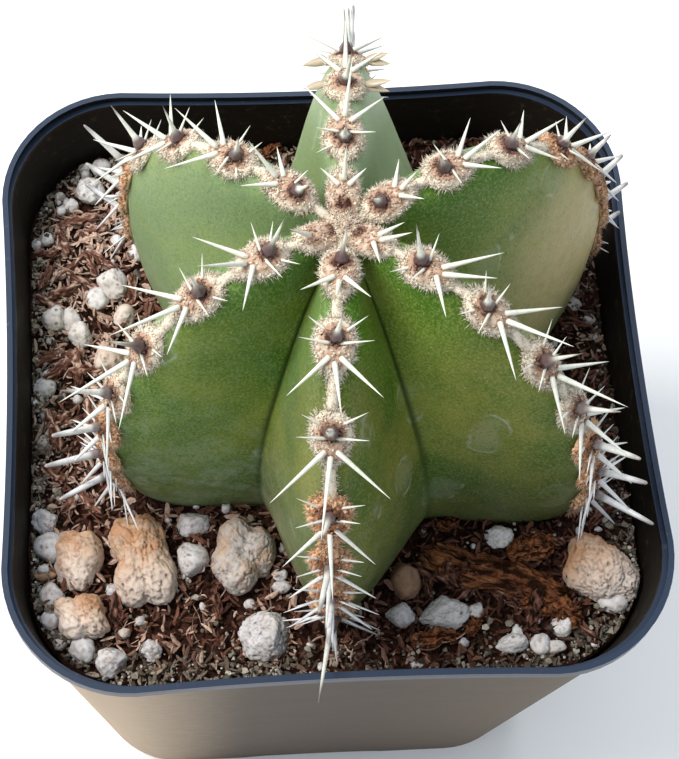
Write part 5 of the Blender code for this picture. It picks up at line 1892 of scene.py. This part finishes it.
def areole_spines(rib, arc, rng, grown):
    """Root, way, length, root radius, kind and age of each spine of an areole."""
    seat, outward, towards, sideways = areole_frame(rib, arc)
    husky = rib == HUSK_RIB and HUSK_ARCS[0] < arc < HUSK_ARCS[1]
    plans = [("upper_central", 0), ("lower_central", 0)]
    plans += [(kind, side) for side in (-1, 1) for kind in ("lateral", "radial")[:1 if husky else 2]]
    age = arc / crest_arcs(rib)[1][-1]
    grown *= (YOUNG_LENGTH + (AGED_LENGTH - YOUNG_LENGTH) * age) * RIBS[rib][6]
    if rib == STUNTED_RIB:
        grown *= 1 - STUNTED * old_spine(age)
    spines = []
    for kind, side in plans:
        length, radius, place, rise, lean = SPINE_KINDS[kind]
        root = seat + outward * SPINE_SEAT + towards * place + sideways * SPINE_SIDE * side
        way = unit(outward * rise + towards * lean + sideways * side)
        way = way + np.array([rng.uniform(-SPINE_JITTER, SPINE_JITTER) for _ in range(3)])
        length *= grown * rng.uniform(1 - LENGTH_JITTER, 1 + LENGTH_JITTER)
        if kind == "lower_central":
            length *= 1 - 0.40 * old_spine(age)
        if side:
            length, radius = length * (1 - 0.26 * old_spine(age)), radius * (1 - 0.22 * old_spine(age))
        way, length = settle_spine(rib, root, unit(way), length)
        if length > SHORTEST_SPINE:
            spines.append((root, way, length, radius, kind, age))
    if rib == len(RIBS) - 1 and arc == areole_arcs(rib)[-1]:
        root, reach = spines[0][0], LONG_TIP - spines[0][0]
        spines[0] = (root, unit(reach), np.linalg.norm(reach), LONG_RADIUS, "upper_central", LONG_AGE)
    more = random.Random(int(arc * 1e6) + rib)
    for side in (-1, 1):
        for place, lean, reach in MORE_SPINES[:0 if husky else 2 if age > MORE_AGE else 1]:
            way = unit(outward * 0.34 + towards * lean + sideways * side
                       + np.array([more.uniform(-0.12, 0.12) for _ in range(3)]))
            root = seat + outward * 0.0006 + towards * place + sideways * 0.0014 * side
            way, length = settle_spine(rib, root, way, reach * grown * more.uniform(0.8, 1.15))
            if length > SHORTEST_SPINE:
                spines.append((root, way, length, MORE_RADIUS, "radial", age))
    if husky:
        for side, rise in HUSK_WAYS:
            way = unit(outward * rise + towards * 0.2 + sideways * side)
            spines.append((seat + sideways * 0.0024 * side, way, HUSK_LENGTH * more.uniform(0.8, 1.1),
                           HUSK_WIDTH, "husk", HUSK_AGE))
    return spines


# Stage, panel and classes
class AddStage(Operator):
    """Set up the floor, the lamps and the camera"""

    bl_idname = "cactus.add_stage"
    bl_label = "Studio stage"

    def execute(self, context):
        settings = context.scene.cactus_stage
        floor = start("floor", bpy.ops.mesh.primitive_plane_add, size=6.0)
        material, shader, _ = new_finish("floor")
        dress(shader, Base_Color=settings.floor, Roughness=0.9)
        floor.data.materials.append(material)
        add_lamp("key", settings.key, *KEY_LAMP)
        add_lamp("fill", settings.fill, *FILL_LAMP)
        world = bpy.data.worlds.new("surroundings")
        world.use_nodes = True
        dress(world.node_tree.nodes["Background"].inputs, Color=SKY_TONE, Strength=settings.sky)
        context.scene.world = world
        context.scene.view_settings.view_transform = "Standard"
        add_camera(context)
        return {"FINISHED"}


def add_lamp(name, power, place, size, tone):
    """A square lamp aimed at the pot's rim."""
    bpy.ops.object.light_add(type="AREA", location=place)
    lamp = bpy.context.object
    lamp.name = name
    lamp.data.size, lamp.data.energy, lamp.data.color = size, power, tone
    aim = Vector((0, 0, POT_HEIGHT)) - lamp.location
    lamp.rotation_euler = aim.to_track_quat("-Z", "Y").to_euler()


def add_camera(context):
    """The camera at the photograph's viewpoint."""
    a, e, roll = (math.radians(value) for value in (VIEW_AZIMUTH, VIEW_ELEVATION, VIEW_ROLL))
    back = Vector((math.sin(a) * math.cos(e), -math.cos(a) * math.cos(e), math.sin(e)))
    right = Vector((math.cos(a), math.sin(a), 0))
    up = back.cross(right)
    turned = right * math.cos(roll) + up * math.sin(roll), up * math.cos(roll) - right * math.sin(roll)
    bpy.ops.object.camera_add()
    camera = bpy.context.object
    camera.name = "camera"
    place = Vector(VIEW_TARGET) + back * VIEW_DISTANCE
    camera.matrix_world = Matrix.Translation(place) @ Matrix((*turned, back)).transposed().to_4x4()
    camera.data.lens, camera.data.shift_x, camera.data.shift_y = VIEW_LENS, VIEW_SHIFT_X, VIEW_SHIFT_Y
    camera.data.clip_start = 0.01
    context.scene.camera = camera


class CactusPanel(Panel):
    """Lists the pieces and their settings"""

    bl_idname = "VIEW3D_PT_cactus"
    bl_label = "Potted Cactus"
    bl_space_type = "VIEW_3D"
    bl_region_type = "UI"
    bl_category = "Cactus"

    def draw(self, context):
        for group, (_, *operators) in PANEL_ROWS.items():
            box = self.layout.box()
            for operator in operators:
                box.operator(operator.bl_idname)
            settings = getattr(context.scene, group)
            for name in settings.__annotations__:
                box.prop(settings, name)


# Each group of settings, by its name on the scene, with the operators that read it
PANEL_ROWS = {
    "cactus_pot": (PotSettings, AddPot),
    "cactus_soil": (SoilSettings, AddSoil, AddLitter),
    "cactus_stones": (StoneSettings, AddStones, AddBark),
    "cactus_stem": (StemSettings, AddStem),
    "cactus_wool": (WoolSettings, AddWool),
    "cactus_spines": (SpineSettings, AddSpines),
    "cactus_stage": (StageSettings, AddStage),
}
CLASSES = [*(item for row in PANEL_ROWS.values() for item in row), CactusPanel]


def register():
    for item in CLASSES:
        bpy.utils.register_class(item)
    for name, (group, *_) in PANEL_ROWS.items():
        setattr(bpy.types.Scene, name, PointerProperty(type=group))


def unregister():
    for name in PANEL_ROWS:
        delattr(bpy.types.Scene, name)
    for item in reversed(CLASSES):
        bpy.utils.unregister_class(item)


def main():
    register()
    bpy.ops.cactus.add_pot()
    bpy.ops.cactus.add_soil()
    bpy.ops.cactus.add_litter()
    bpy.ops.cactus.add_stones()
    bpy.ops.cactus.add_bark()
    bpy.ops.cactus.add_stem()
    bpy.ops.cactus.add_wool()
    bpy.ops.cactus.add_spines()
    bpy.ops.cactus.add_stage()
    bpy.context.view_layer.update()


if __name__ == "__main__":
    main()
